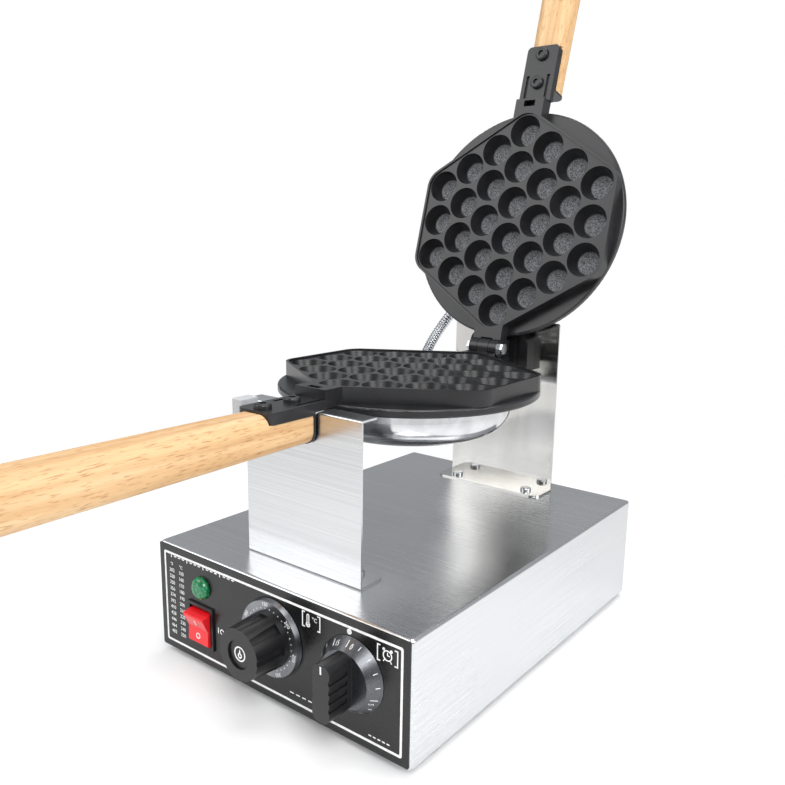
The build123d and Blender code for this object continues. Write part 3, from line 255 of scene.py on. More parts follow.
def brushed_stainless():
    """Grade 304 sheet with a No. 4 brushed finish: bright grey, with fine grain and soft smears."""
    material, tree, shader = new_material("brushed_stainless_304")
    grain = brushed_grain(tree)
    smears = noise(tree, object_coordinates(tree), 9.0)
    colour = ramp_between(tree, grain, "#CDCED0", "#DADBDC", 0.3, 0.7)
    rough = maths(tree, "ADD", grey_range(tree, grain, 0.22, 0.28), grey_range(tree, smears, -0.03, 0.05))
    tree.links.new(colour, shader.inputs["Base Color"])
    tree.links.new(rough, shader.inputs["Roughness"])
    set_shader(shader, Metallic=1.0, Anisotropic=0.4)
    bump_from(tree, shader, grain, 0.004, 0.15)
    return material


def mirror_stainless():
    """Grade 304 sheet, mirror polished: sharp reflections with faint wiping marks."""
    material, tree, shader = new_material("mirror_polished_stainless")
    wipes = noise(tree, object_coordinates(tree, (40, 40, 8)), detail=5.0)
    tree.links.new(ramp_between(tree, wipes, "#C4C2BE", "#D3D2CF", 0.3, 0.7), shader.inputs["Base Color"])
    tree.links.new(grey_range(tree, wipes, 0.06, 0.13), shader.inputs["Roughness"])
    set_shader(shader, Metallic=1.0)
    return material


def polished_plating(name, low, high, rough_low, rough_high):
    """Bright electroplated steel: clean reflections, a little softer where it was handled."""
    material, tree, shader = new_material(name)
    handling = noise(tree, object_coordinates(tree), 60.0)
    tree.links.new(ramp_between(tree, handling, low, high, 0.35, 0.65), shader.inputs["Base Color"])
    tree.links.new(grey_range(tree, handling, rough_low, rough_high), shader.inputs["Roughness"])
    set_shader(shader, Metallic=1.0)
    return material


def closed_coordinates(tree, on_lid):
    """Object coordinates of the closed machine, so that a pattern on the open lid matches the lower iron."""
    if not on_lid:
        return object_coordinates(tree)
    hinge = Vector(joint_named("lid_hinge")["pos_m"])
    centred = object_coordinates(tree, place=tuple(-hinge))
    turned = mapped(tree, centred, Rotation=(LID_OPEN, 0, 0))
    return mapped(tree, turned, Location=tuple(hinge))


def cup_floor_mask(tree, place):
    """One on the floors of the cups and nought elsewhere."""
    fade, margin = 1.6 * MM, 0.4 * MM
    below = 0.6 * MM
    parts = add_node(tree, "ShaderNodeSeparateXYZ", Vector=place)
    depth = maths(tree, "ABSOLUTE", maths(tree, "SUBTRACT", parts.outputs["Z"], PARTING_Z))
    deep = add_node(
        tree, "ShaderNodeMapRange", Value=depth, From_Min=CUP_FLOOR - fade, From_Max=CUP_FLOOR - margin
    )
    near = maths(tree, "LESS_THAN", depth, CUP_FLOOR + below)
    from_axis = maths(tree, "SUBTRACT", parts.outputs["Y"], PAN_Y)
    flat = add_node(tree, "ShaderNodeCombineXYZ", X=parts.outputs["X"], Y=from_axis)
    radius = add_node(tree, "ShaderNodeVectorMath", {"operation": "LENGTH"}, i0=flat.outputs[0])
    inside = maths(tree, "LESS_THAN", radius.outputs["Value"], MOULD_REACH)
    return maths(tree, "MULTIPLY", maths(tree, "MULTIPLY", deep.outputs[0], near), inside)


def coated_casting(name, on_lid):
    """Cast aluminium under black PTFE coating: satin with a fine orange peel. The cup floors are
    sand-roughened, so rougher; their pale colour and bright speckles are painted reflection and painted
    glints."""
    material, tree, shader = new_material(name)
    colours = bpy.context.scene.waffle_colours
    place = closed_coordinates(tree, on_lid)
    peel = noise(tree, place, 700.0)
    grit_and_painted_glints = noise(tree, place, 1100.0, 2.0)
    wear = noise(tree, place, 45.0, 6.0)
    mask = cup_floor_mask(tree, place)
    satin = ramp_between(tree, wear, colours.coating, "#232326", 0.35, 0.75)
    # Cup floors painted pale grey with bright speckles: painted reflection and painted glints.
    painted_pale_floor = ramp_between(tree, grit_and_painted_glints, "#3C3D40", "#8F9093", 0.38, 0.66)
    rough = maths(tree, "MULTIPLY_ADD", mask, 0.3, grey_range(tree, wear, 0.26, 0.38))
    tree.links.new(mixed_colour(tree, mask, satin, painted_pale_floor), shader.inputs["Base Color"])
    tree.links.new(rough, shader.inputs["Roughness"])
    set_shader(shader, Metallic=0.0, IOR=1.5)
    height = add_node(tree, "ShaderNodeMix", Factor=mask, A=peel, B=grit_and_painted_glints)
    bump_from(tree, shader, height.outputs[0], 0.05, 0.35)
    return material


def oiled_beech(name, on_lid):
    """Steamed beech turned and oiled: pale straw-pink, fine straight grain and short dark flecks."""
    material, tree, shader = new_material(name)
    place = closed_coordinates(tree, on_lid)
    colours = bpy.context.scene.waffle_colours
    grain = noise(tree, mapped(tree, place, Scale=(230, 9, 230)), detail=6.0, roughness=0.6)
    fleck = noise(tree, mapped(tree, place, Scale=(1100, 120, 1100)), detail=1.0)
    broad = noise(tree, mapped(tree, place, Scale=(40, 4, 40)))
    base = ramp_between(tree, grain, "#C9A070", colours.wood, 0.3, 0.62)
    tint = ramp_between(tree, broad, "#EAD3B4", "#FFFFFF", 0.3, 0.6)
    flecks = ramp_between(tree, fleck, "#B98A58", "#FFFFFF", 0.3, 0.42)
    tinted = mixed_colour(tree, 0.55, base, tint, "MULTIPLY")
    tree.links.new(mixed_colour(tree, 0.5, tinted, flecks, "MULTIPLY"), shader.inputs["Base Color"])
    tree.links.new(grey_range(tree, grain, 0.5, 0.36), shader.inputs["Roughness"])
    set_shader(shader, IOR=1.45)
    bump_from(tree, shader, grain, 0.08, 0.3)
    return material


def moulded_plastic(name, low, high, rough_low, rough_high, grain_mm=0.4):
    """Injection-moulded plastic: even colour with a fine spark-eroded grain."""
    material, tree, shader = new_material(name)
    grain = noise(tree, object_coordinates(tree), 1 / (2 * grain_mm * MM), 2.0)
    tree.links.new(ramp_between(tree, grain, low, high, 0.3, 0.7), shader.inputs["Base Color"])
    tree.links.new(grey_range(tree, grain, rough_low, rough_high), shader.inputs["Roughness"])
    set_shader(shader, IOR=1.49)
    bump_from(tree, shader, grain, 0.015, 0.3)
    return material


def skirted_knob():
    """Black phenolic bar on a skirt with a dark metallic sheen."""
    material, tree, shader = new_material("black_knob_with_metallised_skirt")
    place = object_coordinates(tree)
    parts = add_node(tree, "ShaderNodeSeparateXYZ", Vector=place)
    skirt = maths(tree, "GREATER_THAN", parts.outputs["Y"], PANEL_FRONT - SKIRT_DEPTH)
    grain = noise(tree, place, 900.0, 2.0)
    bar_colour = ramp_between(tree, grain, "#0C0C0D", "#18181A", 0.3, 0.7)
    skirt_colour = ramp_between(tree, grain, "#5C5D60", "#6E6F73", 0.3, 0.7)
    tree.links.new(mixed_colour(tree, skirt, bar_colour, skirt_colour), shader.inputs["Base Color"])
    tree.links.new(skirt, shader.inputs["Metallic"])
    tree.links.new(grey_range(tree, grain, 0.24, 0.38), shader.inputs["Roughness"])
    bump_from(tree, shader, grain, 0.012, 0.25)
    return material


def lamp_lens():
    """Faceted polycarbonate lens: deep green and glossy."""
    material, tree, shader = new_material("green_polycarbonate_lens")
    colours = bpy.context.scene.waffle_colours
    cells = add_node(tree, "ShaderNodeTexVoronoi", Vector=object_coordinates(tree), Scale=420.0)
    facets = cells.outputs["Distance"]
    tree.links.new(ramp_between(tree, facets, "#2FA56C", colours.lamp, 0.0, 0.6), shader.inputs["Base Color"])
    tree.links.new(grey_range(tree, facets, 0.06, 0.16), shader.inputs["Roughness"])
    set_shader(shader, IOR=1.58)
    bump_from(tree, shader, facets, 0.3, 0.6)
    return material


def screen_ink(name, colour):
    """White screen-printing ink: flat and slightly uneven in cover."""
    return moulded_plastic(name, colour, "#FFFFFF", 0.45, 0.6, 1.5)


def round_outline(x, y, radius, steps):
    """Points round a circle, anticlockwise."""
    turns = [step * math.tau / steps for step in range(steps)]
    return [(x + radius * math.cos(turn), y + radius * math.sin(turn)) for turn in turns]


class Sheet:
    """Flat marks drawn in a local plane, in millimetres, and gathered in one mesh."""

    def __init__(self):
        self.mesh = bmesh.new()

    def polygon(self, points):
        """Filled polygon through points, anticlockwise."""
        self.mesh.faces.new([self.mesh.verts.new((x, y, 0)) for x, y in points])

    def box(self, x, y, width, height, turn=0.0):
        """Filled rectangle about its centre."""
        c, s = math.cos(turn), math.sin(turn)
        halves = [(a * width / 2, b * height / 2) for a, b in ((-1, -1), (1, -1), (1, 1), (-1, 1))]
        self.polygon([(x + c * a - s * b, y + s * a + c * b) for a, b in halves])

    def disc(self, x, y, radius, steps=40):
        """Filled circle."""
        self.polygon(round_outline(x, y, radius, steps))

    def band(self, outer, inner):
        """Filled band between two closed outlines with as many points each."""
        out = [self.mesh.verts.new((x, y, 0)) for x, y in outer]
        inn = [self.mesh.verts.new((x, y, 0)) for x, y in inner]
        for i in range(len(out)):
            j = (i + 1) % len(out)
            self.mesh.faces.new((out[i], out[j], inn[j], inn[i]))

    def ring(self, x, y, outer, inner, steps=40):
        """Filled ring."""
        self.band(round_outline(x, y, outer, steps), round_outline(x, y, inner, steps))

    def text(self, words, x, y, size, turn=0.0):
        """Generic lettering, centred."""
        curve = bpy.data.curves.new("lettering", "FONT")
        curve.body = words
        curve.size = size
        curve.align_x = "CENTER"
        curve.align_y = "CENTER"
        curve.resolution_u = 3
        holder = bpy.data.objects.new("lettering", curve)
        mesh = bpy.data.meshes.new_from_object(holder)
        mesh.transform(Matrix.Translation((x, y, 0)) @ Matrix.Rotation(turn, 4, "Z"))
        self.mesh.from_mesh(mesh)
        bpy.data.objects.remove(holder)
        bpy.data.curves.remove(curve)
        bpy.data.meshes.remove(mesh)

    def piece(self, name, place, depth, material, rise=None):
        """Closed solid of the marks, this deep, put in place. Rise gives the height of a curved ground."""
        bmesh.ops.remove_doubles(self.mesh, verts=self.mesh.verts, dist=1e-4)
        if rise:
            for vertex in self.mesh.verts:
                vertex.co.z = rise(vertex.co.x, vertex.co.y)
        flat = list(self.mesh.faces)
        moved = bmesh.ops.extrude_face_region(self.mesh, geom=flat, use_keep_orig=True)
        top = [v for v in moved["geom"] if isinstance(v, bmesh.types.BMVert)]
        bmesh.ops.translate(self.mesh, verts=top, vec=(0, 0, depth))
        bmesh.ops.transform(self.mesh, matrix=place @ Matrix.Scale(MM, 4), verts=self.mesh.verts)
        bmesh.ops.recalc_face_normals(self.mesh, faces=self.mesh.faces)
        mesh = bpy.data.meshes.new(name)
        self.mesh.to_mesh(mesh)
        self.mesh.free()
        return put_in_scene(name, mesh, material)


def put_in_scene(name, mesh, material):
    """Object of a finished mesh, at the origin, with its material."""
    mesh.materials.clear()
    mesh.materials.append(material)
    piece = bpy.data.objects.new(name, mesh)
    bpy.context.scene.collection.objects.link(piece)
    return piece


def facing_front(x, z, y):
    """Matrix that stands a sheet up to face the user, with its origin at one point."""
    return Matrix.Translation((x, y, z)) @ Matrix.Rotation(math.pi / 2, 4, "X")


def rounded_outline(width, height, radius, steps=6):
    """Corners of a rounded rectangle, anticlockwise."""
    across, up = width / 2 - radius, height / 2 - radius
    points = []
    for index, (sx, sy) in enumerate(((1, 1), (-1, 1), (-1, -1), (1, -1))):
        for step in range(steps + 1):
            angle = math.pi / 2 * (index + step / steps)
            points.append((sx * across + radius * math.cos(angle), sy * up + radius * math.sin(angle)))
    return points


def painted(node, material):
    """Give a CAD node its finish."""
    for slot in frame["nodes"][node].material_slots:
        slot.material = material


def own(piece, body):
    """Let a new piece ride on its body."""
    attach(piece, body)
    return piece


def finish_groups(colours):
    """Each finish with the CAD nodes that have it."""
    brushed = brushed_stainless()
    zinc = polished_plating("bright_zinc_plate", "#B9BCC0", "#D8DADC", 0.16, 0.3)
    chrome = polished_plating("chrome_plate", "#C8C9CB", "#DEDFE0", 0.08, 0.18)
    phenolic = moulded_plastic("moulded_black_phenolic", "#0C0C0D", "#18181A", 0.28, 0.42)
    lower_casting = coated_casting("cast_aluminium_ptfe_lower", False)
    lid_casting = coated_casting("cast_aluminium_ptfe_lid", True)
    bolt = moulded_plastic("blackened_steel_bolt", "#141415", "#2A2B2D", 0.25, 0.4)
    grey_nylon = moulded_plastic("moulded_grey_nylon", "#A9ABAE", "#BDBFC2", 0.4, 0.5)
    white_nylon = moulded_plastic("moulded_white_nylon", "#DAD9D4", "#EBEAE6", 0.4, 0.5)
    rubber = moulded_plastic("black_rubber_foot", "#0B0B0B", "#161616", 0.6, 0.75)
    film = moulded_plastic("satin_polyester_panel_film", colours.panel, "#131315", 0.22, 0.3)
    red = moulded_plastic("glossy_red_polycarbonate", colours.rocker, "#F2232C", 0.1, 0.18)
    dial = polished_plating("anodised_dial_ring", "#77797D", "#8C8E92", 0.24, 0.34)
    return (
        (brushed, ("base_housing", "bottom_plate", "front_support_bracket")),
        (brushed, ("thermostat_body", "timer_body", "lower_heater", "upper_heater")),
        (mirror_stainless(), ("rear_support_bracket",)),
        (zinc, ("front_bracket_screws", "rear_bracket_screws", "front_bracket_nuts", "rear_bracket_nuts")),
        (zinc, ("bearing_block_screws", "hinge_pin", "hinge_nut", "pivot_shaft", "shaft_nut")),
        (zinc, ("lower_conduit_fitting", "upper_conduit_fitting")),
        (zinc, ("lower_cover_screws", "upper_cover_screws")),
        (chrome, ("lower_cover", "upper_cover")),
        (lower_casting, ("lower_plate", "lower_handle_strap", "bearing_block")),
        (lid_casting, ("upper_plate", "upper_handle_strap")),
        (oiled_beech("oiled_beech_lower", False), ("lower_handle_grip",)),
        (oiled_beech("oiled_beech_lid", True), ("upper_handle_grip",)),
        (bolt, ("lower_handle_bolts", "upper_handle_bolts")),
        (grey_nylon, ("handle_block",)),
        (rubber, ("rubber_feet",)),
        (film, ("control_panel",)),
        (phenolic, ("switch_housing", "cable_gland", "thermostat_knob")),
        (skirted_knob(), ("timer_knob",)),
        (white_nylon, ("terminal_block",)),
        (red, ("power_rocker",)),
        (lamp_lens(), ("indicator_lamp",)),
        (dial, ("thermostat_dial",)),
    )


class WAFFLE_OT_finishes(bpy.types.Operator):
    """Give every CAD node the finish of the real piece"""

    bl_idname = "waffle.finishes"
    bl_label = "Finishes"

    def execute(self, context):
        for material, nodes in finish_groups(context.scene.waffle_colours):
            for node in nodes:
                painted(node, material)
        return {"FINISHED"}


def empty_tree(name, inputs):
    """Geometry node group with its geometry sockets and named inputs; returns it, its inlet and outlet."""
    tree = bpy.data.node_groups.new(name, "GeometryNodeTree")
    tree.interface.new_socket("Geometry", in_out="INPUT", socket_type="NodeSocketGeometry")
    for label, value in inputs.items():
        kind = "NodeSocketInt" if isinstance(value, int) else "NodeSocketFloat"
        tree.interface.new_socket(label, in_out="INPUT", socket_type=kind).default_value = value
    tree.interface.new_socket("Geometry", in_out="OUTPUT", socket_type="NodeSocketGeometry")
    return tree, tree.nodes.new("NodeGroupInput"), tree.nodes.new("NodeGroupOutput")


def finish_tree(tree, geometry, outlet, material):
    """End a tree in plain geometry with its material."""
    whole = add_node(tree, "GeometryNodeRealizeInstances", Geometry=geometry)
    dressed = add_node(tree, "GeometryNodeSetMaterial", Geometry=whole.outputs[0], Material=material)
    tree.links.new(dressed.outputs[0], outlet.inputs[0])
    return tree


def conduit_tree(material):
    """Geometry nodes: an interlocked strip-wound tube along a curve, one ridge for each turn of the strip."""
    steps = 6
    defaults = {"Radius": 0.005, "Pitch": 0.0028, "Rib depth": 0.0007}
    tree, inlet, outlet = empty_tree("ribbed_conduit", defaults)
    step = maths(tree, "DIVIDE", inlet.outputs["Pitch"], float(steps))
    line = add_node(
        tree,
        "GeometryNodeResampleCurve",
        {"mode": "LENGTH"},
        Curve=inlet.outputs["Geometry"],
        Length=step,
    )
    index = tree.nodes.new("GeometryNodeInputIndex")
    wave = maths(tree, "COSINE", maths(tree, "MULTIPLY", index.outputs[0], math.tau / steps))
    dip = maths(tree, "MULTIPLY", maths(tree, "MULTIPLY_ADD", wave, 0.5, 0.5), inlet.outputs["Rib depth"])
    ring = add_node(tree, "GeometryNodeCurvePrimitiveCircle", {"mode": "RADIUS"}, Resolution=24, Radius=1.0)
    tube = add_node(
        tree,
        "GeometryNodeCurveToMesh",
        Curve=line.outputs["Curve"],
        Profile_Curve=ring.outputs["Curve"],
        Scale=maths(tree, "SUBTRACT", inlet.outputs["Radius"], dip),
        Fill_Caps=True,
    )
    return finish_tree(tree, tube.outputs["Mesh"], outlet, material)


def socket_named(tree, name):
    """Identifier of one named input of a node group."""
    inputs = [item for item in tree.interface.items_tree if item.in_out == "INPUT"]
    return next(item.identifier for item in inputs if item.name == name)


class WAFFLE_OT_conduit(bpy.types.Operator):
    """Ribbed steel conduit from the lower cover to the lid's cover"""

    bl_idname = "waffle.conduit"
    bl_label = "Conduit"

    def execute(self, context):
        sizes = context.scene.waffle_sizes
        steel = polished_plating("strip_wound_galvanised_steel", "#A9ACB0", "#CDCFD2", 0.18, 0.32)
        curve = bpy.data.curves.new("conduit_line", "CURVE")
        curve.dimensions = "3D"
        curve.resolution_u = 48
        spline = curve.splines.new("NURBS")
        spline.points.add(len(CONDUIT_ROUTE) - 1)
        for point, place in zip(spline.points, CONDUIT_ROUTE):
            point.co = (*place, 1.0)
        spline.order_u = 3
        spline.use_endpoint_u = True
        line = bpy.data.objects.new("conduit_line", curve)
        context.scene.collection.objects.link(line)
        path = [tuple(v.co) for v in bpy.data.meshes.new_from_object(line).vertices]
        tree = conduit_tree(steel)
        maker = line.modifiers.new("ribs", "NODES")
        maker.node_group = tree
        maker[socket_named(tree, "Radius")] = sizes.conduit_radius
        maker[socket_named(tree, "Pitch")] = sizes.conduit_pitch
        context.view_layer.update()
        depsgraph = context.evaluated_depsgraph_get()
        mesh = bpy.data.meshes.new_from_object(line.evaluated_get(depsgraph))
        bpy.data.objects.remove(line)
        if not mesh.vertices:
            raise RuntimeError("the conduit came out empty")
        mesh.shade_smooth()
        conduit = put_in_scene("ribbed_conduit", mesh, steel)
        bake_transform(conduit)
        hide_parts("wire_conduit")
        return {"FINISHED"}


def bracketed(sheet, x, z, width, height):
    """Square brackets round an icon."""
    for side in (-1, 1):
        sheet.box(x + side * width / 2, z, 0.8, height)
        for end in (-1, 1):
            sheet.box(x + side * (width / 2 - 1.3), z + end * (height / 2 - 0.4), 1.8, 0.8)


def number_table(sheet):
    """Two columns of numbers, degrees Fahrenheit beside degrees Celsius."""
    left, right, heading_z = -105.4, -94.6, 75.4
    top, row_step, rows = 70.6, 5.0, 11
    lowest, celsius_step = 150, 10
    sheet.text("\u00b0F", left, heading_z, 3.6)
    sheet.text("\u00b0C", right, heading_z, 3.6)
    for row in range(rows):
        celsius = lowest + celsius_step * row
        fahrenheit = round(celsius * 1.8 + 32)
        sheet.text(str(fahrenheit), left, top - row_step * row, 4.0)
        sheet.text(str(celsius), right, top - row_step * row, 4.0)


def plain_dashes(sheet):
    """Plain marks where the heading and the two labels stand."""
    heading_x, heading_z, heading_step = -105.5, 82.4, 4.6
    for step in range(16):
        tall = step % 4 == 0
        sheet.box(heading_x + heading_step * step, heading_z, 0.8 if tall else 2.6, 2.8 if tall else 0.8)
    for step in range(5):
        sheet.box(21.0 + 5.6 * step, 19.2, 3.4, 0.8)
        sheet.box(89.0 + 3.6 * step, 17.0, 2.2, 0.8)


def thermometer_icon(sheet, x, z):
    """Thermometer and a degree sign in square brackets."""
    bulb_x, bulb_z = x - 2.8, z - 3.0
    stem_z = bulb_z + 4.2
    bracketed(sheet, x, z, 15.4, 11.0)
    sheet.ring(bulb_x, bulb_z, 1.9, 1.1)
    sheet.disc(bulb_x, bulb_z, 0.7)
    sheet.band(
        [(a + bulb_x, b + stem_z) for a, b in rounded_outline(2.4, 6.4, 1.15)],
        [(a + bulb_x, b + stem_z) for a, b in rounded_outline(1.0, 5.0, 0.45)],
    )
    sheet.text("\u00b0C", x + 3.0, z + 1.6, 4.0)


def clock_icon(sheet, x, z):
    """Alarm clock in square brackets."""
    dial_z = z - 0.2
    bracketed(sheet, x, z, 15.4, 11.0)
    sheet.ring(x, dial_z, 3.6, 2.8)
    sheet.box(x, dial_z + 1.1, 0.6, 2.2)
    sheet.box(x + 0.9, dial_z + 0.1, 1.8, 0.6)
    for side in (-1, 1):
        sheet.disc(x + side * 2.9, dial_z + 3.6, 1.0)
        sheet.box(x + side * 2.7, dial_z - 3.6, 0.7, 1.8, side * 0.6)


class WAFFLE_OT_panel_marks(bpy.types.Operator):
    """White screen print of the control panel: border, conversion table, icons and plain marks"""

    bl_idname = "waffle.panel_marks"
    bl_label = "Panel marks"

    def execute(self, context):
        sizes = context.scene.waffle_sizes
        ink = screen_ink("white_screen_ink", "#E9E9E7")
        low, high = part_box("control_panel")
        inset, line = sizes.border_inset / MM, sizes.border_width / MM
        width, height = (high[0] - low[0]) / MM - 2 * inset, (high[2] - low[2]) / MM - 2 * inset
        middle_z = middle("control_panel", 2) / MM
        outer = rounded_outline(width, height, 1.6)
        inner = rounded_outline(width - 2 * line, height - 2 * line, 0.9)
        sheet = Sheet()
        sheet.band([(x, y + middle_z) for x, y in outer], [(x, y + middle_z) for x, y in inner])
        number_table(sheet)
        plain_dashes(sheet)
        thermometer_icon(sheet, 39.2, 77.0)
        clock_icon(sheet, 102.0, 76.0)
        sheet.disc(71.8, 81.2, 1.9)
        sheet.box(-53.4, 38.8, 0.8, 4.4)
        sheet.ring(-49.4, 38.8, 2.1, 1.4)
        marks = sheet.piece("panel_print", facing_front(0, 0, PANEL_FRONT), sizes.ink_depth / MM, ink)
        own(marks, "base")
        return {"FINISHED"}


def dial_dots_tree(material):
    """Geometry nodes: short round dots at even steps along an arc of the dial."""
    defaults = {"Ring radius": 0.0218, "Dot radius": 0.0004, "Depth": 0.00012, "Count": 26}
    first, sweep = math.radians(-68), math.radians(275)
    tree, inlet, outlet = empty_tree("dial_dots", defaults)
    arc = add_node(
        tree,
        "GeometryNodeCurveArc",
        {"mode": "RADIUS"},
        Resolution=inlet.outputs["Count"],
        Radius=inlet.outputs["Ring radius"],
        Start_Angle=first,
        Sweep_Angle=sweep,
    )
    points = add_node(tree, "GeometryNodeCurveToPoints", {"mode": "EVALUATED"}, Curve=arc.outputs["Curve"])
    dot = add_node(
        tree,
        "GeometryNodeMeshCylinder",
        Vertices=14,
        Radius=inlet.outputs["Dot radius"],
        Depth=inlet.outputs["Depth"],
    )
    placed = add_node(
        tree,
        "GeometryNodeInstanceOnPoints",
        Points=points.outputs["Points"],
        Instance=dot.outputs["Mesh"],
    )
    return finish_tree(tree, placed.outputs[0], outlet, material)


class WAFFLE_OT_thermostat_marks(bpy.types.Operator):
    """Numbers and dots of the thermostat's dial, and the plain ring on its knob"""

    bl_idname = "waffle.thermostat_marks"
    bl_label = "Thermostat marks"

    def execute(self, context):
        sizes = context.scene.waffle_sizes
        ink = screen_ink("pale_dial_ink", "#F0F0EE")
        x, z = middle("thermostat_dial", 0), middle("thermostat_dial", 2)
        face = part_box("thermostat_dial")[0][1]
        depth = sizes.ink_depth / MM
        sheet = Sheet()
        first, spacing, reach = 207, 55, 24.4
        for step in range(6):
            angle = math.radians(first - spacing * step)
            across, up = reach * math.cos(angle), reach * math.sin(angle)
            sheet.text(str(50 + 50 * step), across, up, 3.8, angle - math.pi / 2)
        numbers = sheet.piece("dial_numbers", facing_front(x, z, face), depth, ink)
        own(numbers, "thermostat_control")
        tree = dial_dots_tree(ink)
        holder = bpy.data.objects.new("dots", bpy.data.meshes.new("dots"))
        context.scene.collection.objects.link(holder)
        maker = holder.modifiers.new("dots", "NODES")
        maker.node_group = tree
        maker[socket_named(tree, "Count")] = sizes.dial_marks
        maker[socket_named(tree, "Depth")] = sizes.ink_depth
        context.view_layer.update()
        mesh = bpy.data.meshes.new_from_object(holder.evaluated_get(context.evaluated_depsgraph_get()))
        bpy.data.objects.remove(holder)
        if not mesh.vertices:
            raise RuntimeError("the dial's dots came out empty")
        mesh.transform(facing_front(x, z, face - sizes.ink_depth / 2))
        own(put_in_scene("dial_dots", mesh, ink), "thermostat_control")
        recess = 1.5 * MM
        knob_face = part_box("thermostat_knob")[0][1] + recess
        sheet = Sheet()
        sheet.ring(0, 0, 5.2, 4.3)
        sheet.ring(0, -1.2, 1.9, 1.0)
        sheet.polygon([(-0.9, 0.2), (0.9, 0.2), (0.0, 3.4)])
        ring = sheet.piece("knob_icon", facing_front(x, z, knob_face), depth, ink)
        own(ring, "thermostat_control")
        return {"FINISHED"}


class WAFFLE_OT_timer_marks(bpy.types.Operator):
    """Minute marks on the timer's sloping skirt, and the light line on its bar"""

    bl_idname = "waffle.timer_marks"
    bl_label = "Timer marks"

    def execute(self, context):
        sizes = context.scene.waffle_sizes
        ink = screen_ink("silver_skirt_ink", "#DADADA")
        x, z = middle("timer_knob", 0), middle("timer_knob", 2)
        skirt_back = PANEL_FRONT - 0.4 * MM
        skirt_radius, cone_width, cone_height = 25.5, 6.5, 8.0
        spacing, label_reach, label_lag = 22, 22.0, 9

        def skirt(across, up):
            """Height of the skirt's cone over its back edge."""
            return (skirt_radius - math.hypot(across, up)) / cone_width * cone_height

        sheet = Sheet()
        for step in range(16):
            angle = math.radians(90 - spacing * step)
            reach, length = (22.6, 3.2) if step % 5 == 0 else (23.4, 1.8)
            sheet.box(reach * math.cos(angle), reach * math.sin(angle), length, 0.5, angle)
        for step in (0, 5, 10, 15):
            angle = math.radians(90 - label_lag - spacing * step)
            across, up = label_reach * math.cos(angle), label_reach * math.sin(angle)
            sheet.text(str(step), across, up, 3.4, angle - math.pi / 2)
        marks = sheet.piece("timer_marks", facing_front(x, z, skirt_back), sizes.ink_depth / MM, ink, skirt)
        own(marks, "timer_control")
        bar_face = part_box("timer_knob")[0][1]
        sheet = Sheet()
        sheet.box(0, 15.4, 1.2, 5.0)
        pointer = sheet.piece("timer_pointer", facing_front(x, z, bar_face), sizes.ink_depth / MM, ink)
        own(pointer, "timer_control")
        return {"FINISHED"}


class WAFFLE_OT_rocker_marks(bpy.types.Operator):
    """Generic on and off marks on the rocker's two facets"""

    bl_idname = "waffle.rocker_marks"
    bl_label = "Rocker marks"

    def execute(self, context):
        ink = screen_ink("white_rocker_ink", "#F4F4F2")
        pivot = Vector(joint_named("rocker_tip")["pos_m"])
        rest_tilt, facet_depth, facet_rise = math.radians(12), 8 * MM, 5.6 * MM
        tilt = Matrix.Rotation(rest_tilt, 3, "X")
        for name, side in (("rocker_on", 1), ("rocker_off", -1)):
            up = Vector((0, -3 * side, 12)).normalized()
            out = Vector((1, 0, 0)).cross(up)
            centre = tilt @ Vector((0, -facet_depth, side * facet_rise)) + pivot
            basis = Matrix((tilt @ Vector((1, 0, 0)), tilt @ up, tilt @ out)).transposed().to_4x4()
            sheet = Sheet()
            if side > 0:
                sheet.box(0, 0, 0.9, 4.4)
            else:
                sheet.ring(0, 0, 2.3, 1.6)
            mark = sheet.piece(name, Matrix.Translation(centre) @ basis, 0.15, ink)
            own(mark, "rocker")
        return {"FINISHED"}


def soft_light(name, place, target, size, power):
    """Square white soft box aimed at a point."""
    light = bpy.data.lights.new(name, "AREA")
    light.size = size
    light.energy = power
    holder = bpy.data.objects.new(name, light)
    holder.location = place
    holder.rotation_euler = (Vector(target) - Vector(place)).to_track_quat("-Z", "Y").to_euler()
    bpy.context.scene.collection.objects.link(holder)


def photo_camera():
    """Camera where the photograph was taken, with its lens."""
    photo_width, focal_pixels, sensor = 785, 801.86, 36
    yaw, pitch, roll = (math.radians(angle) for angle in (38.06, 11.73, 0.85))
    place = (0.37107, BASE_Y - 0.50444, 0.32653)
    flat = math.cos(pitch)
    ahead = Vector((-math.sin(yaw) * flat, math.cos(yaw) * flat, -math.sin(pitch)))
    right = Vector((math.cos(yaw), math.sin(yaw), 0))
    up = right.cross(ahead)
    across = math.cos(roll) * right + math.sin(roll) * up
    above = -math.sin(roll) * right + math.cos(roll) * up
    camera = bpy.data.cameras.new("camera")
    camera.sensor_width = sensor
    camera.sensor_fit = "HORIZONTAL"
    camera.lens = focal_pixels * sensor / photo_width
    holder = bpy.data.objects.new("camera", camera)
    turned = Matrix((across, above, -ahead)).transposed().to_4x4()
    holder.matrix_world = Matrix.Translation(place) @ turned
    bpy.context.scene.collection.objects.link(holder)
    bpy.context.scene.camera = holder


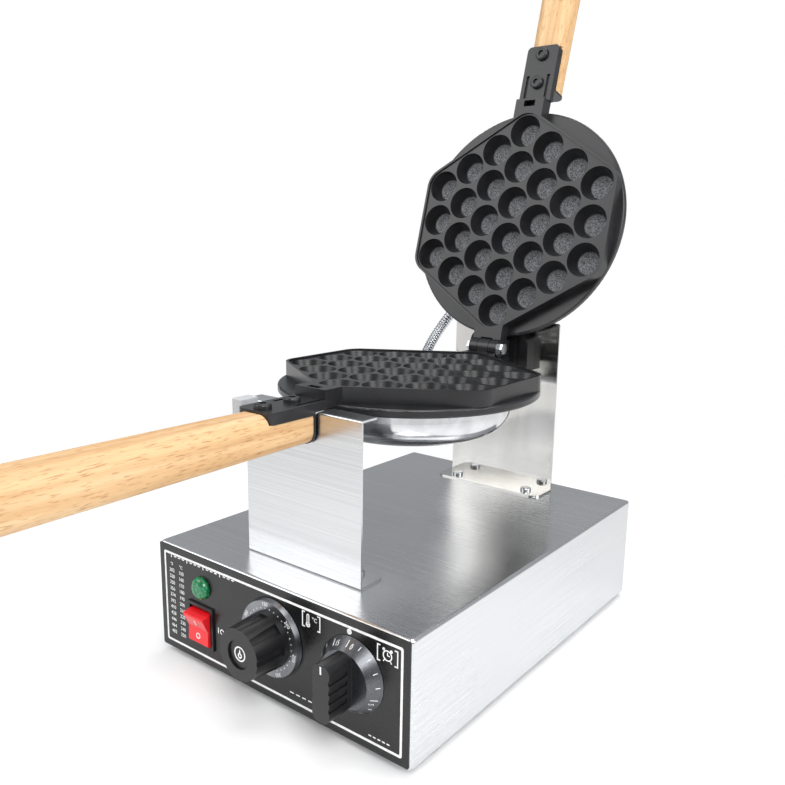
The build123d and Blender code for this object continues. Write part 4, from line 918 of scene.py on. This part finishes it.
def paper_sweep():
    """Floor that keeps the shadow near the machine and fades to pure white further out."""
    reach, fade_start, fade_end = 30.0, 0.25, 0.75
    corners = [(-reach, -reach, 0), (reach, -reach, 0), (reach, reach, 0), (-reach, reach, 0)]
    mesh = bpy.data.meshes.new("floor")
    mesh.from_pydata(corners, [], [(0, 1, 2, 3)])
    material, tree, shader = new_material("white_paper_sweep")
    set_shader(shader, Base_Color=linear("#F4F4F4"), Roughness=0.9)
    glow = add_node(tree, "ShaderNodeEmission", Color=(1, 1, 1, 1), Strength=1.0)
    place = object_coordinates(tree)
    length = add_node(tree, "ShaderNodeVectorMath", {"operation": "LENGTH"}, i0=place).outputs["Value"]
    far = add_node(tree, "ShaderNodeMapRange", Value=length, From_Min=fade_start, From_Max=fade_end)
    path = tree.nodes.new("ShaderNodeLightPath")
    seen = maths(tree, "MAXIMUM", path.outputs["Is Camera Ray"], path.outputs["Is Glossy Ray"])
    factor = maths(tree, "MULTIPLY", far.outputs[0], seen)
    mix = add_node(tree, "ShaderNodeMixShader", i0=factor, i1=shader.outputs[0], i2=glow.outputs[0])
    tree.links.new(mix.outputs[0], tree.nodes["Material Output"].inputs["Surface"])
    put_in_scene("floor", mesh, material)


def soft_room():
    """Dim cool room for the reflections, pure white to the camera."""
    world = bpy.data.worlds.new("soft_white_room")
    world.use_nodes = True
    bpy.context.scene.world = world
    tree = world.node_tree
    room = tree.nodes["Background"]
    room.inputs["Color"].default_value = linear("#DDE0E4")
    room.inputs["Strength"].default_value = 0.55
    white = add_node(tree, "ShaderNodeBackground", Color=(1, 1, 1, 1), Strength=1.0)
    seen = tree.nodes.new("ShaderNodeLightPath").outputs["Is Camera Ray"]
    mix = add_node(tree, "ShaderNodeMixShader", i0=seen, i1=room.outputs[0], i2=white.outputs[0])
    tree.links.new(mix.outputs[0], tree.nodes["World Output"].inputs["Surface"])


class WAFFLE_OT_stage(bpy.types.Operator):
    """Camera at the photograph's angle, plain pale floor, soft studio light and a white surround"""

    bl_idname = "waffle.stage"
    bl_label = "Stage"

    def execute(self, context):
        context.scene.view_settings.view_transform = "Standard"
        target = (0, BASE_Y, 0.2)
        photo_camera()
        paper_sweep()
        soft_room()
        soft_light("key_light", (1.1, BASE_Y - 1.0, 1.5), target, 0.9, 23)
        soft_light("fill_light", (-1.05, BASE_Y - 1.25, 1.3), target, 1.3, 15)
        soft_light("side_light", (1.7, BASE_Y + 0.2, 0.9), target, 1.0, 12)
        soft_light("top_light", (0.1, BASE_Y + 0.3, 2.0), target, 1.4, 20)
        return {"FINISHED"}


class WAFFLE_PT_pieces(bpy.types.Panel):
    """Lists the steps that dress the waffle maker"""

    bl_label = "Bubble waffle maker"
    bl_space_type = "VIEW_3D"
    bl_region_type = "UI"
    bl_category = "Waffle"

    def draw(self, context):
        for maker in MAKERS:
            self.layout.operator(maker.bl_idname)
        for group in (context.scene.waffle_sizes, context.scene.waffle_colours):
            for name in group.bl_rna.properties.keys():
                if name not in ("rna_type", "name"):
                    self.layout.prop(group, name)


MAKERS = (
    WAFFLE_OT_stage,
    WAFFLE_OT_conduit,
    WAFFLE_OT_finishes,
    WAFFLE_OT_panel_marks,
    WAFFLE_OT_thermostat_marks,
    WAFFLE_OT_timer_marks,
    WAFFLE_OT_rocker_marks,
)
CLASSES = (WaffleSizes, WaffleColours, *MAKERS, WAFFLE_PT_pieces)


def register():
    """Add the classes and their values on the scene."""
    for item in CLASSES:
        bpy.utils.register_class(item)
    bpy.types.Scene.waffle_sizes = bpy.props.PointerProperty(type=WaffleSizes)
    bpy.types.Scene.waffle_colours = bpy.props.PointerProperty(type=WaffleColours)


def unregister():
    """Take them away again."""
    del bpy.types.Scene.waffle_colours
    del bpy.types.Scene.waffle_sizes
    for item in reversed(CLASSES):
        bpy.utils.unregister_class(item)


def main():
    """Dress the frame."""
    register()
    for maker in MAKERS:
        group, step = maker.bl_idname.split(".")
        getattr(getattr(bpy.ops, group), step)()


if __name__ == "__main__":
    main()
